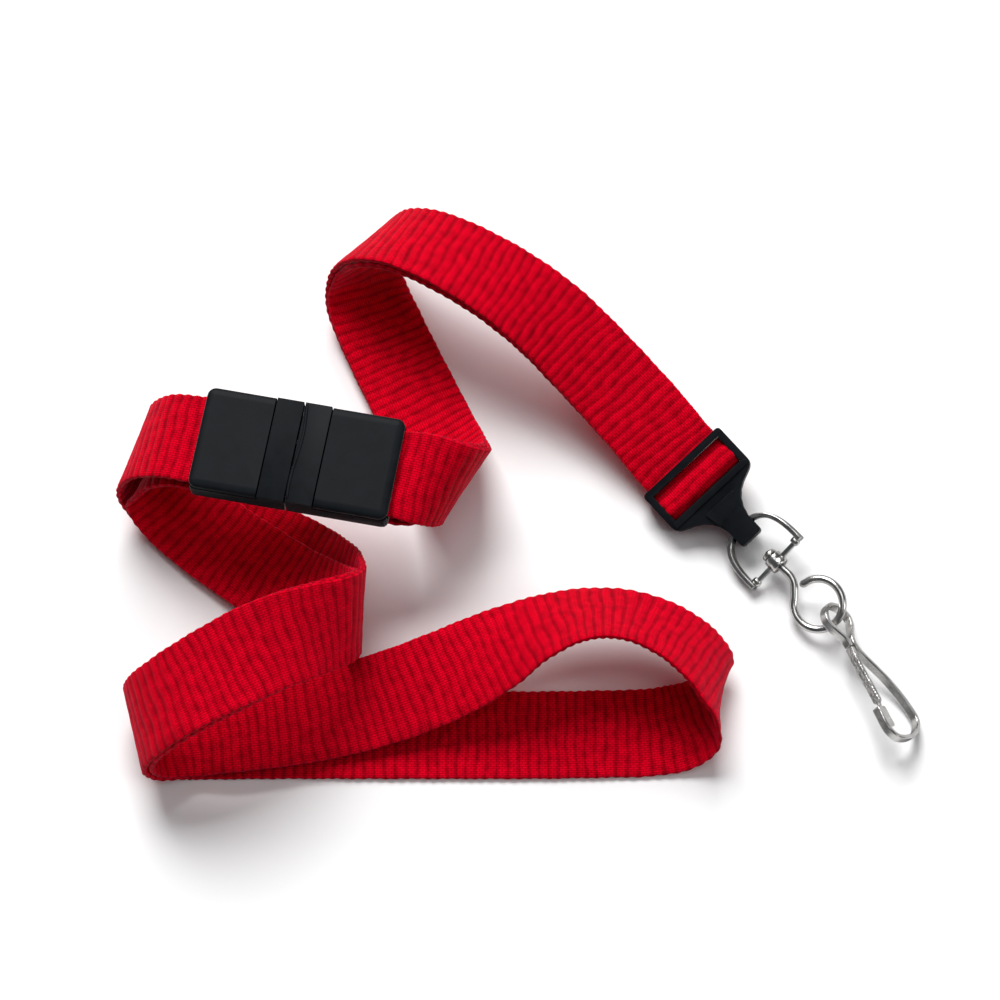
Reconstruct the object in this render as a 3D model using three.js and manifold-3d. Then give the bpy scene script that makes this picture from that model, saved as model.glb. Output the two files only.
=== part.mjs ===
// Breakaway neck lanyard lying on a table, in millimetres, +Z up.
// A flat webbing loop is folded round the bar of a plastic slider and joined by a
// breakaway buckle; a D bail, a swivel eye and a spring hook hang from the slider.
import * as THREE from 'three';
import { mergeVertices } from 'three/addons/utils/BufferGeometryUtils.js';
import Module from 'manifold-3d';

const wasm = await Module();
wasm.setup();

// ---- Driving dimensions ---------------------------------------------------------
const clearance = 0.3; // between neighbours that touch or slide on the real one
const webbing = { width: 16, thickness: 1 };

const slider = {
  width: 18.2, // outer width, across the webbing
  frameLength: 8.8, // rear bar to front edge, along the webbing
  thickness: 3.6,
  windowWidth: 15.6,
  windowLength: 5.8,
  rearBar: 1.3,
  barRadius: 0.8, // cross bar that the webbing folds round
  neckWidth: 4.6,
  neckThickness: 5.2,
  neckLength: 14.2, // slider centre to neck end
  boreRadius: 2.05,
  boreAt: 11.5, // slider centre to the bail's bore
};

const bail = {
  width: 12.8, // outer width of the D
  depth: 9.9, // back of the curve to the outside of the straight bar
  strip: 0.9, // strip thickness, in the plane of the D
  height: 2.4, // strip width, across the plane of the D
  bossRadius: 1.7,
  bossLength: 2.4,
  bossClearance: 0.25,
};

const eye = {
  wireRadius: 0.7,
  ringRadius: 4.45, // to the middle of the wire
  ringAt: 10.6, // bail bar to the ring's centre
  headRadius: 1.35,
  headThickness: 0.8,
};

const hook = {
  strip: 0.8, // strip thickness, in the hook's plane
  height: 1.6, // strip width, across the hook's plane
  loopLength: 8.6, // neck to the outside of the small loop
  loopWidth: 6.6,
  bodyLength: 19.2, // neck to the outside of the bottom bend
  bodyWidth: 9.2,
  tipLength: 6.3, // how far the tip reaches back up from the bottom bend
  cheek: 0.35,
  gateEndWidth: 0.4, // the gate's end is narrowed to fit between the cheeks
};

const buckle = {
  width: 18.4,
  thickness: 5,
  socketLength: 17,
  plugLength: 17.8,
  noseLength: 4.8, // full-height part beside the parting line
  corner: 1.2,
  pocket: 8.6, // how far the webbing goes in
  prongLength: 7.2,
  prongWidth: 3.6,
  prongThickness: 1.6,
  prongSpread: 5.2, // middle of the buckle to the middle of an outer prong
};

// ---- The webbing's route --------------------------------------------------------
// Middle of the doubled webbing from the slider to the last left-hand curl, each as
// x, y, z, then the compass bearing and the rise of the direction across the webbing.
const doubledRoute = [
  [23.8, 11.2, 7.4, 40, 14],
  [18, 17.4, 9.4, 39, 9],
  [12, 23, 12.4, 41, 5],
  [7, 27.3, 15, 46, 0],
  [2, 30.7, 17.5, 53, -4],
  [-3.5, 34, 19.5, 58, -8],
  [-9, 37, 20.5, 60, -11],
  [-14.5, 39.8, 20.7, 58, -14],
  [-20, 42.2, 19.6, 53, -15],
  [-24.7, 43.6, 16.4, 49, -13],
  [-27.3, 43.8, 11, 46, -10],
  [-27.9, 41.5, 6, 44, -8],
  [-27, 38, 3.4, 41, -5],
  [-24.2, 31.5, 2.2, 37, -2],
  [-19.6, 21.5, 2.2, 34, 2],
  [-14.8, 11, 3.6, 37, 8],
  [-11.2, 2.5, 7.5, 43, 16],
  [-9.8, -2.6, 14, 52, 27],
  [-12, -4.8, 19.2, 60, 30],
  [-16.4, -4.8, 21.6, 72, 16],
  [-20.5, -4, 21.3, 79.5, 3],
  [-37.8, -0.8, 21.3, 79.5, 3],
  [-55, 2.4, 21.3, 79.5, 3],
  [-60.6, 3.7, 20, 78, 0],
  [-65, 4.5, 15.5, 74, -2],
  [-66.5, 4.2, 10, 70, -1],
  [-65.2, 2.6, 5, 65, 0],
  [-61.4, -1.3, 2, 61, 0],
  [-54.6, -7.4, 1.6, 58, 0],
  [-46.4, -13.6, 2.6, 57, 5],
  [-38, -19.6, 4.6, 62, 18],
  [-30.4, -24.2, 9, 73, 33],
  [-27.5, -27, 14.5, 85, 41],
  [-29.3, -29.9, 19.8, 90, 40],
  [-34.6, -32.6, 22.2, 92, 30],
  [-42, -35.6, 22.8, 95, 17],
  [-50.5, -39.7, 21.6, 100, 6],
  [-58.4, -43.4, 18.5, 104, 0],
  [-63.4, -45.4, 13.5, 105, 0],
  [-64.7, -45.8, 8.5, 104, 0],
  [-62.8, -45.4, 3.8, 101, 0],
  [-57.4, -44.4, 1.35, 98, 0],
];

// Middle of the single webbing round the end loop, from the inner ply back to the outer.
const loopRoute = [
  [-50.8, -43.8, 2.8, 100, 2],
  [-43, -43, 3.6, 105, 8],
  [-35.7, -42, 4.2, 112, 13],
  [-28, -40.5, 5, 114, 14],
  [-19.9, -38.4, 6.4, 114, 14],
  [-11, -35.3, 8.4, 111, 6],
  [-3.1, -31.8, 10.4, 105, -9],
  [3.6, -28.7, 12.3, 100, -27],
  [11.4, -26.5, 13.2, 94, -37],
  [19.3, -26.7, 13.2, 86, -38],
  [26.8, -29.7, 12.8, 79, -34],
  [32.6, -34.3, 11, 75, -28],
  [35, -38.2, 7.8, 77, -17],
  [33.4, -40.8, 4.2, 80, -3],
  [29.2, -42.8, 1.7, 83, 3],
  [23.6, -43.7, 0.7, 86, 1],
  [14.5, -44, 0.55, 89, 0],
  [2, -44.2, 0.55, 91, 0],
  [-10, -44.2, 0.55, 92, 0],
  [-25, -44.2, 0.55, 94, 0],
  [-40.2, -44.2, 0.55, 96, 0],
  [-50, -44.3, 0.6, 97, 0],
];

// Where the doubled route's two plies part round the buckle, as places on that route.
const buckleFrom = 22;
const buckleTo = 24;
const tailEnd = 32; // where the strand that follows the socket half stops moving with it
const stepsPerStretch = 4;

// ---- Poses of the hard parts, each as a place and two directions (bearing, rise) --
const sliderPlace = { at: [32.1, 1.45, 5.8], x: [40, 18], y: [-50, -10] };
const bailPlace = { x: [42, 27], y: [-44, 3] };
const ringAcross = [41, 27]; // the swivel eye's stem carries on the bail's own line
const hookPlace = { at: [58.1, -29.4, 4.9], x: [-65, 1], y: [26, -40] };

// ---- Helpers --------------------------------------------------------------------
const degrees = Math.PI / 180;

function direction(bearing, rise) {
  const level = Math.cos(rise * degrees);
  return new THREE.Vector3(
    level * Math.cos(bearing * degrees),
    level * Math.sin(bearing * degrees),
    Math.sin(rise * degrees),
  );
}

// A group whose local X is `x` and whose local Y is the part of `y` square to it.
function placedGroup(at, x, y) {
  const across = x.clone().normalize();
  const along = y.clone().addScaledVector(across, -y.dot(across)).normalize();
  const up = new THREE.Vector3().crossVectors(across, along);
  const group = new THREE.Group();
  group.position.copy(at);
  group.quaternion.setFromRotationMatrix(new THREE.Matrix4().makeBasis(across, along, up));
  group.updateMatrixWorld(true);
  return group;
}

function solidOf(geometry) {
  const plain = geometry.index ? geometry.clone() : geometry;
  plain.deleteAttribute('normal');
  plain.deleteAttribute('uv');
  const merged = mergeVertices(plain, 1e-4);
  return new wasm.Manifold(new wasm.Mesh({
    numProp: 3,
    vertProperties: new Float32Array(merged.attributes.position.array),
    triVerts: new Uint32Array(merged.index.array),
  }));
}

function geometryOf(solid) {
  const mesh = solid.getMesh();
  const geometry = new THREE.BufferGeometry();
  geometry.setAttribute('position', new THREE.BufferAttribute(mesh.vertProperties.slice(), 3));
  geometry.setIndex(new THREE.BufferAttribute(mesh.triVerts.slice(), 1));
  geometry.computeVertexNormals();
  return geometry;
}

// The first geometry with the `added` ones joined on and the `removed` ones cut away.
function carved(base, removed, added = []) {
  let solid = solidOf(base);
  for (const geometry of added) {
    solid = solid.add(solidOf(geometry));
  }
  for (const geometry of removed) {
    solid = solid.subtract(solidOf(geometry));
  }
  return geometryOf(solid);
}

function box(xRange, yRange, zRange) {
  const size = [xRange, yRange, zRange].map(([low, high]) => high - low);
  const middle = [xRange, yRange, zRange].map(([low, high]) => (low + high) / 2);
  return new THREE.BoxGeometry(...size).translate(...middle);
}

function roundedRectangle(xRange, yRange, radius) {
  const [x0, x1] = xRange;
  const [y0, y1] = yRange;
  const shape = new THREE.Shape();
  shape.moveTo(x0 + radius, y0);
  shape.lineTo(x1 - radius, y0);
  shape.absarc(x1 - radius, y0 + radius, radius, -Math.PI / 2, 0);
  shape.lineTo(x1, y1 - radius);
  shape.absarc(x1 - radius, y1 - radius, radius, 0, Math.PI / 2);
  shape.lineTo(x0 + radius, y1);
  shape.absarc(x0 + radius, y1 - radius, radius, Math.PI / 2, Math.PI);
  shape.lineTo(x0, y0 + radius);
  shape.absarc(x0 + radius, y0 + radius, radius, Math.PI, Math.PI * 1.5);
  return shape;
}

// A flat shape extruded between two heights.
function slab(shape, zRange, curveSegments = 4) {
  const settings = { depth: zRange[1] - zRange[0], bevelEnabled: false, curveSegments };
  return new THREE.ExtrudeGeometry(shape, settings).translate(0, 0, zRange[0]);
}

// A strip of even thickness along a flat open path, standing `height` across the plane.
function bentStrip(points, thickness, height, steps) {
  const curve = new THREE.CatmullRomCurve3(
    points.map(([x, y]) => new THREE.Vector3(x, y, 0)),
    false,
    'centripetal',
  );
  const left = [];
  const right = [];
  for (let i = 0; i <= steps; i += 1) {
    const middle = curve.getPointAt(i / steps);
    const tangent = curve.getTangentAt(i / steps);
    const side = new THREE.Vector2(-tangent.y, tangent.x).multiplyScalar(thickness / 2);
    left.push(new THREE.Vector2(middle.x + side.x, middle.y + side.y));
    right.push(new THREE.Vector2(middle.x - side.x, middle.y - side.y));
  }
  const outline = new THREE.Shape([...right, ...left.reverse()]);
  return slab(outline, [-height / 2, height / 2]);
}

const object = new THREE.Group();

function addMesh(parent, name, geometry, material) {
  const mesh = new THREE.Mesh(geometry, material);
  mesh.name = name;
  parent.add(mesh);
  return mesh;
}

const finish = {
  webbing: () => new THREE.MeshStandardMaterial({ color: 0xc4000f, roughness: 0.8, metalness: 0 }),
  plastic: () => new THREE.MeshStandardMaterial({ color: 0x17191c, roughness: 0.55, metalness: 0 }),
  nickel: () => new THREE.MeshStandardMaterial({ color: 0xc8c8c6, roughness: 0.25, metalness: 1 }),
};

// ---- Slider ---------------------------------------------------------------------
// Local X runs across the webbing, local Y towards the hook, and local Z down.
const sliderGroup = placedGroup(
  new THREE.Vector3(...sliderPlace.at),
  direction(...sliderPlace.x),
  direction(...sliderPlace.y),
);
object.add(sliderGroup);

const halfSlider = slider.width / 2;
const frameRear = -slider.frameLength / 2;
const frameFront = slider.frameLength / 2;

const sliderOutline = new THREE.Shape();
sliderOutline.moveTo(-halfSlider + 0.8, frameRear);
sliderOutline.lineTo(halfSlider - 0.8, frameRear);
sliderOutline.quadraticCurveTo(halfSlider, frameRear, halfSlider, frameRear + 0.8);
sliderOutline.lineTo(halfSlider, frameFront - 1.2);
sliderOutline.quadraticCurveTo(halfSlider, frameFront, halfSlider - 1.6, frameFront + 0.6);
sliderOutline.bezierCurveTo(
  halfSlider - 4.6, frameFront + 1.6,
  slider.neckWidth / 2 + 0.6, frameFront + 3,
  slider.neckWidth / 2, slider.boreAt - 1,
);
sliderOutline.lineTo(slider.neckWidth / 2, slider.neckLength - 0.6);
sliderOutline.lineTo(slider.neckWidth / 2 - 0.6, slider.neckLength);
sliderOutline.lineTo(-slider.neckWidth / 2 + 0.6, slider.neckLength);
sliderOutline.lineTo(-slider.neckWidth / 2, slider.neckLength - 0.6);
sliderOutline.lineTo(-slider.neckWidth / 2, slider.boreAt - 1);
sliderOutline.bezierCurveTo(
  -slider.neckWidth / 2 - 0.6, frameFront + 3,
  -halfSlider + 4.6, frameFront + 1.6,
  -halfSlider + 1.6, frameFront + 0.6,
);
sliderOutline.quadraticCurveTo(-halfSlider, frameFront, -halfSlider, frameFront - 1.2);
sliderOutline.lineTo(-halfSlider, frameRear + 0.8);
sliderOutline.quadraticCurveTo(-halfSlider, frameRear, -halfSlider + 0.8, frameRear);

const windowRear = frameRear + slider.rearBar;
const windowFront = windowRear + slider.windowLength;
const halfWindow = slider.windowWidth / 2;
const halfThick = slider.thickness / 2;
const neckTop = slider.neckThickness / 2;
const neckBlock = slab(
  roundedRectangle(
    [-slider.neckWidth / 2, slider.neckWidth / 2],
    [slider.boreAt - 3, slider.neckLength],
    0.6,
  ),
  [-neckTop, neckTop],
);
const crossBar = new THREE.CylinderGeometry(
  slider.barRadius, slider.barRadius, slider.windowWidth + 0.6, 12,
).rotateZ(Math.PI / 2);
const barMiddle = windowFront - 2 * clearance - webbing.thickness - slider.barRadius;
crossBar.translate(0, barMiddle, 0);
const bailBore = new THREE.CylinderGeometry(
  slider.boreRadius, slider.boreRadius, slider.neckWidth + 2, 20,
).rotateZ(Math.PI / 2);
bailBore.translate(0, slider.boreAt, 0);
const windowCut = box([-halfWindow, halfWindow], [windowRear, windowFront], [-4, 4]);
// The rear bar sits on top of the webbing, so the frame is open below it.
const strapEntry = box(
  [-halfWindow, halfWindow],
  [frameRear - 1, windowRear + 0.1],
  [slider.rearBar - halfThick, 4],
);
let sliderSolid = solidOf(slab(sliderOutline, [-halfThick, halfThick], 5));
sliderSolid = sliderSolid.add(solidOf(neckBlock));
sliderSolid = sliderSolid.subtract(solidOf(windowCut));
sliderSolid = sliderSolid.subtract(solidOf(strapEntry));
sliderSolid = sliderSolid.add(solidOf(crossBar));
sliderSolid = sliderSolid.subtract(solidOf(bailBore));
addMesh(sliderGroup, 'slider', geometryOf(sliderSolid), finish.plastic());

// ---- Webbing --------------------------------------------------------------------
// A route gives, at any place along it, the middle, the direction across the webbing
// and the outward normal of its face.
function makeRoute(stations) {
  const middles = stations.map(([x, y, z]) => new THREE.Vector3(x, y, z));
  const acrosses = stations.map((station) => direction(station[3], station[4]));
  const middleCurve = new THREE.CatmullRomCurve3(middles, false, 'centripetal');
  const acrossCurve = new THREE.CatmullRomCurve3(acrosses, false, 'catmullrom', 0.5);
  const last = stations.length - 1;
  return {
    last,
    at(place) {
      const t = THREE.MathUtils.clamp(place / last, 0, 1);
      const tangent = middleCurve.getTangent(t);
      const across = acrossCurve.getPoint(t);
      across.addScaledVector(tangent, -across.dot(tangent)).normalize();
      const outward = new THREE.Vector3().crossVectors(across, tangent);
      return { middle: middleCurve.getPoint(t), tangent, across, outward };
    },
    speed(place) {
      const before = middleCurve.getPoint(THREE.MathUtils.clamp((place - 0.02) / last, 0, 1));
      const after = middleCurve.getPoint(THREE.MathUtils.clamp((place + 0.02) / last, 0, 1));
      return before.distanceTo(after) / 0.04;
    },
  };
}

// A closed ribbon through a list of sections, each a middle, a direction across it and
// a normal, `width` wide and one webbing thickness through.
function ribbon(sections, width = webbing.width) {
  const positions = [];
  const indices = [];
  for (const { middle, across, outward } of sections) {
    for (const [side, face] of [[-1, -1], [1, -1], [1, 1], [-1, 1]]) {
      const corner = middle.clone()
        .addScaledVector(across, (side * width) / 2)
        .addScaledVector(outward, (face * webbing.thickness) / 2);
      positions.push(corner.x, corner.y, corner.z);
    }
  }
  for (let i = 0; i + 1 < sections.length; i += 1) {
    for (let k = 0; k < 4; k += 1) {
      const a = i * 4 + k;
      const b = i * 4 + ((k + 1) % 4);
      indices.push(a, a + 4, b, b, a + 4, b + 4);
    }
  }
  const end = (sections.length - 1) * 4;
  indices.push(0, 1, 2, 0, 2, 3, end, end + 2, end + 1, end, end + 3, end + 2);
  const geometry = new THREE.BufferGeometry();
  geometry.setAttribute('position', new THREE.Float32BufferAttribute(positions, 3));
  geometry.setIndex(indices);
  geometry.computeVertexNormals();
  return geometry;
}

// The doubled webbing leaves the slider under its rear bar, so its first two stations
// are places in the slider's own frame.
const plyOffset = (webbing.thickness + clearance) / 2;
const entryHeight = slider.rearBar - halfThick + clearance + webbing.thickness + clearance / 2;

function stationOf(middle, across) {
  const rise = Math.asin(across.z) / degrees;
  const bearing = Math.atan2(across.y, across.x) / degrees;
  return [middle.x, middle.y, middle.z, bearing, rise];
}

function sliderStation(y) {
  const middle = new THREE.Vector3(0, y, entryHeight).applyMatrix4(sliderGroup.matrixWorld);
  return stationOf(middle, new THREE.Vector3(1, 0, 0).applyQuaternion(sliderGroup.quaternion));
}

const doubled = makeRoute([
  sliderStation(frameRear - clearance),
  sliderStation(frameRear - 2.4),
  ...doubledRoute,
]);
const backPlyDrop = buckle.thickness / 2 + clearance + webbing.thickness / 2 + plyOffset;

// Beside the right-hand curl below the buckle the outer ply has slipped sideways.
const slip = { from: 27.5, to: 35, most: 4.8, peak: 31.6 };

function outerSlip(place) {
  const rising = THREE.MathUtils.smoothstep(place, slip.from, slip.peak);
  const falling = THREE.MathUtils.smoothstep(place, slip.peak, slip.to);
  return slip.most * (rising - falling);
}

// How far the inner ply stands off the route: more behind the buckle, to clear its back.
// On the socket's side it stays clear for as far as the socket slides off the plug.
function innerOffset(place) {
  const before = THREE.MathUtils.smoothstep(place, buckleFrom - 2.2, buckleFrom - 0.1);
  const after = THREE.MathUtils.smoothstep(place, buckleTo + 2.4, buckleTo + 5.4);
  return THREE.MathUtils.lerp(plyOffset, backPlyDrop - plyOffset, before - after);
}

function plySections(from, to, offsetAt, slipAt = () => 0) {
  const count = Math.max(2, Math.round((to - from) * stepsPerStretch));
  const sections = [];
  for (let i = 0; i <= count; i += 1) {
    const place = from + ((to - from) * i) / count;
    const section = doubled.at(place);
    section.middle.addScaledVector(section.outward, offsetAt(place));
    section.middle.addScaledVector(section.across, slipAt(place));
    sections.push(section);
  }
  return sections;
}

const outerPly = (from, to) => plySections(from, to, () => plyOffset, outerSlip);
const innerPly = (from, to) => plySections(from, to, (place) => -innerOffset(place));

// The buckle lies along the outer ply between its two places on the route.
const buckleStart = doubled.at(buckleFrom);
const buckleEnd = doubled.at(buckleTo);
const plugEnd = buckleStart.middle.clone().addScaledVector(buckleStart.outward, plyOffset);
const socketEnd = buckleEnd.middle.clone().addScaledVector(buckleEnd.outward, plyOffset);
const buckleLine = plugEnd.clone().sub(socketEnd).normalize();

// Local X runs from the socket towards the plug, with the parting line at the origin.
const partingShare = buckle.socketLength / (buckle.socketLength + buckle.plugLength);
const parting = socketEnd.clone().lerp(plugEnd, partingShare);
const buckleGroup = placedGroup(parting, buckleLine, buckleStart.across);
object.add(buckleGroup);

// The straight piece of webbing held in one half of the buckle, in sections that run
// from the buckle's inside out to its end.
function heldSections(side, count) {
  const length = side > 0 ? buckle.plugLength : buckle.socketLength;
  const across = new THREE.Vector3(0, 1, 0).applyQuaternion(buckleGroup.quaternion);
  const outward = new THREE.Vector3(0, 0, 1).applyQuaternion(buckleGroup.quaternion);
  const sections = [];
  for (let i = 0; i <= count; i += 1) {
    const x = side * (length - buckle.pocket + (buckle.pocket * i) / count);
    const middle = new THREE.Vector3(x, 0, 0).applyMatrix4(buckleGroup.matrixWorld);
    sections.push({ middle, across, outward });
  }
  return sections;
}

const frontStrandSections = [
  ...outerPly(0, buckleFrom - 0.15),
  ...heldSections(1, 2).reverse(),
];
addMesh(object, 'webbing_front_strand', ribbon(frontStrandSections), finish.webbing());

// Beyond the socket half the outer ply follows it as far as the strip below, then lies still.
const buckleTailSections = [
  ...heldSections(-1, 2),
  ...outerPly(buckleTo + 0.15, tailEnd),
];
addMesh(object, 'webbing_buckle_tail', ribbon(buckleTailSections), finish.webbing());

const strandFrom = tailEnd + clearance / doubled.speed(tailEnd);
addMesh(
  object,
  'webbing_buckle_strand',
  ribbon(outerPly(strandFrom, doubled.last)),
  finish.webbing(),
);

addMesh(object, 'webbing_back_strand', ribbon(innerPly(0, doubled.last)), finish.webbing());

// The end loop leaves the inner ply and comes back as the outer ply.
const routeEnd = doubled.at(doubled.last);
function asStation(section, offset) {
  const middle = section.middle.clone().addScaledVector(section.outward, offset);
  return stationOf(middle, section.across);
}
const loopStations = [
  asStation(doubled.at(doubled.last - 1), -plyOffset),
  asStation(routeEnd, -plyOffset),
  ...loopRoute,
  asStation(routeEnd, plyOffset),
  asStation(doubled.at(doubled.last - 1), plyOffset),
];
const loop = makeRoute(loopStations);

// The loop's two ends are square to the doubled webbing's own end.
function loopEnd(face) {
  const middle = routeEnd.middle.clone()
    .addScaledVector(routeEnd.outward, face * plyOffset)
    .addScaledVector(routeEnd.tangent, clearance);
  const outward = routeEnd.outward.clone().multiplyScalar(-face);
  return { middle, across: routeEnd.across, outward };
}

const loopSections = [loopEnd(-1)];
const loopSteps = (loop.last - 2) * stepsPerStretch;
for (let i = 1; i < loopSteps; i += 1) {
  loopSections.push(loop.at(1 + i / stepsPerStretch));
}
loopSections.push(loopEnd(1));
addMesh(object, 'webbing_end_loop', ribbon(loopSections), finish.webbing());

// The fold round the slider's cross bar, as places along the slider and down through it.
const foldRadius = slider.barRadius + clearance + webbing.thickness / 2;
const foldWidth = slider.windowWidth - 2 * clearance;
const foldPath = [
  [frameRear, entryHeight + plyOffset],
  [windowRear, entryHeight + plyOffset],
  [barMiddle - 1.4, foldRadius * 0.72],
  [barMiddle, foldRadius],
  [barMiddle + foldRadius * 0.75, foldRadius * 0.66],
  [barMiddle + foldRadius, 0],
  [barMiddle + foldRadius * 0.75, -foldRadius * 0.66],
  [barMiddle, -foldRadius],
  [windowRear, entryHeight - plyOffset],
  [frameRear, entryHeight - plyOffset],
];
const foldCurve = new THREE.CatmullRomCurve3(
  foldPath.map(([y, z]) => new THREE.Vector3(0, y, z)),
  false,
  'centripetal',
);
const foldSections = [];
const foldSteps = 24;
for (let i = 0; i <= foldSteps; i += 1) {
  const tangent = foldCurve.getTangentAt(i / foldSteps).negate();
  const across = new THREE.Vector3(1, 0, 0);
  const outward = new THREE.Vector3().crossVectors(across, tangent);
  foldSections.push({ middle: foldCurve.getPointAt(i / foldSteps), across, outward });
}
addMesh(
  sliderGroup,
  'webbing_slider_fold',
  ribbon(foldSections.reverse(), foldWidth),
  finish.webbing(),
);

// ---- Bail -----------------------------------------------------------------------
// Local X runs along the straight bar, local Y from the neck to the bar.
const borePoint = new THREE.Vector3(0, slider.boreAt, 0).applyMatrix4(sliderGroup.matrixWorld);
const bailGroup = placedGroup(borePoint, direction(...bailPlace.x), direction(...bailPlace.y));
object.add(bailGroup);

const halfBail = bail.width / 2;
const bailBack = -bail.strip / 2 - 0.2;
const barOuter = bailBack + bail.depth;
function bailOutline(inset) {
  const half = halfBail - inset;
  const back = bailBack + inset;
  const front = barOuter - inset;
  const shape = new THREE.Shape();
  shape.moveTo(-half, front);
  shape.lineTo(-half, front - 1.8);
  shape.bezierCurveTo(-half, back + 1.6, -half * 0.62, back, 0, back);
  shape.bezierCurveTo(half * 0.62, back, half, back + 1.6, half, front - 1.8);
  shape.lineTo(half, front);
  shape.closePath();
  return shape;
}
const bailShape = bailOutline(0);
bailShape.holes.push(new THREE.Path(bailOutline(bail.strip).getPoints(8)));
const barCentre = barOuter - bail.strip / 2;
const boss = new THREE.CylinderGeometry(bail.bossRadius, bail.bossRadius, bail.bossLength, 16);
boss.translate(0, barCentre, 0);
const stemBore = new THREE.CylinderGeometry(
  eye.wireRadius + bail.bossClearance, eye.wireRadius + bail.bossClearance, 8, 16,
).translate(0, barCentre, 0);
addMesh(
  bailGroup,
  'bail',
  carved(slab(bailShape, [-bail.height / 2, bail.height / 2], 8), [stemBore], [boss]),
  finish.nickel(),
);

// ---- Swivel eye -----------------------------------------------------------------
// Local X runs along the stem from the bail's bar, local Y across the ring.
const barPoint = new THREE.Vector3(0, barCentre, 0).applyMatrix4(bailGroup.matrixWorld);
const stemLine = new THREE.Vector3(0, 1, 0).applyQuaternion(bailGroup.quaternion);
const eyeGroup = placedGroup(barPoint, stemLine, direction(...ringAcross));
object.add(eyeGroup);

const headInside = bail.bossLength / 2 + clearance;
const wireCircle = new THREE.Shape().absarc(0, 0, eye.wireRadius, 0, Math.PI * 2);
const eyePoints = [
  [-headInside - eye.headThickness / 2, 0],
  [0, 0],
  [2, 0],
  [eye.ringAt - eye.ringRadius - 2.4, 0],
  [eye.ringAt - eye.ringRadius - 1.2, -0.5],
];
for (let angle = 30; angle <= 351; angle += 321 / 16) {
  eyePoints.push([
    eye.ringAt - eye.ringRadius * Math.cos(angle * degrees),
    -eye.ringRadius * Math.sin(angle * degrees),
  ]);
}
const eyeCurve = new THREE.CatmullRomCurve3(
  eyePoints.map(([x, y]) => new THREE.Vector3(x, y, 0)),
  false,
  'centripetal',
);
const eyeWire = new THREE.ExtrudeGeometry(wireCircle, {
  extrudePath: eyeCurve, steps: 56, curveSegments: 5, bevelEnabled: false,
});
const eyeHead = new THREE.CylinderGeometry(eye.headRadius, eye.headRadius, eye.headThickness, 16)
  .rotateZ(Math.PI / 2)
  .translate(-headInside - eye.headThickness / 2, 0, 0);
addMesh(eyeGroup, 'swivel_eye', carved(eyeWire, [], [eyeHead]), finish.nickel());

// ---- Hook -----------------------------------------------------------------------
// Local X runs from the neck to the bottom bend, local Y from the gate to the back.
const hookGroup = placedGroup(
  new THREE.Vector3(...hookPlace.at),
  direction(...hookPlace.x),
  direction(...hookPlace.y),
);
object.add(hookGroup);

const halfStrip = hook.strip / 2;
const neckGap = clearance + 0.1;
const neckSide = halfStrip + neckGap / 2;
const loopHalf = hook.loopWidth / 2 - halfStrip;
const loopTop = -hook.loopLength + halfStrip;
const bottom = hook.bodyLength - halfStrip;
const gateSide = -2.1;
const backSide = gateSide + hook.bodyWidth - hook.strip;
const hookPath = [
  [0, -neckSide],
  [-1.2, -neckSide - 0.2],
  [loopTop + 4.4, -loopHalf * 0.86],
  [loopTop + 2.6, -loopHalf],
  [loopTop + 0.7, -loopHalf * 0.62],
  [loopTop, 0],
  [loopTop + 0.7, loopHalf * 0.62],
  [loopTop + 2.6, loopHalf],
  [loopTop + 4.4, loopHalf * 0.86],
  [-1.2, neckSide + 0.2],
  [0, neckSide],
  [1.6, neckSide + 0.5],
  [8, backSide * 0.72],
  [bottom - 5, backSide * 0.98],
  [bottom - 2.6, backSide * 0.96],
  [bottom - 0.8, backSide * 0.7],
  [bottom, backSide * 0.32],
  [bottom - 0.4, gateSide * 0.4],
  [bottom - 2, gateSide],
  [bottom - hook.tipLength, gateSide],
];
const hookStrip = bentStrip(hookPath, hook.strip, hook.height, 72);
const tipInner = gateSide + halfStrip;
const gateLane = hook.strip + 2 * clearance;
const cheekReach = [bottom - hook.tipLength, bottom - 2.6];
const cheeks = [-1, 1].map((side) => {
  const inner = hook.height / 2 - hook.cheek;
  const range = side > 0 ? [inner, hook.height / 2] : [-hook.height / 2, -inner];
  return box(cheekReach, [gateSide - halfStrip, tipInner + gateLane], range);
});
addMesh(hookGroup, 'hook', carved(hookStrip, [], cheeks), finish.nickel());

// The gate is the strip's springy end: it flexes at the neck and closes into the tip.
const gateEnd = bottom - 3.4;
const gateLine = tipInner + clearance + halfStrip;
const gatePath = [
  [clearance, -neckSide],
  [2.4, -neckSide - 0.25],
  [gateEnd * 0.6, (gateLine - neckSide) * 0.5],
  [gateEnd, gateLine],
];
const gateStrip = bentStrip(gatePath, hook.strip, hook.height, 10);
const narrowFrom = bottom - hook.tipLength - clearance - 0.4;
const gateCuts = [-1, 1].map((side) => {
  const inner = hook.gateEndWidth / 2;
  const range = side > 0 ? [inner, hook.height] : [-hook.height, -inner];
  return box([narrowFrom, gateEnd + 1], [-4, 4], range);
});
addMesh(hookGroup, 'hook_gate', carved(gateStrip, gateCuts), finish.nickel());

// ---- Buckle ---------------------------------------------------------------------
const halfWidth = buckle.width / 2;
const halfHeight = buckle.thickness / 2;
const slotHalf = webbing.width / 2 + clearance;
const slotHeight = webbing.thickness / 2 + clearance;
const coverTop = halfHeight;
const partingFace = clearance / 2;

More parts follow.
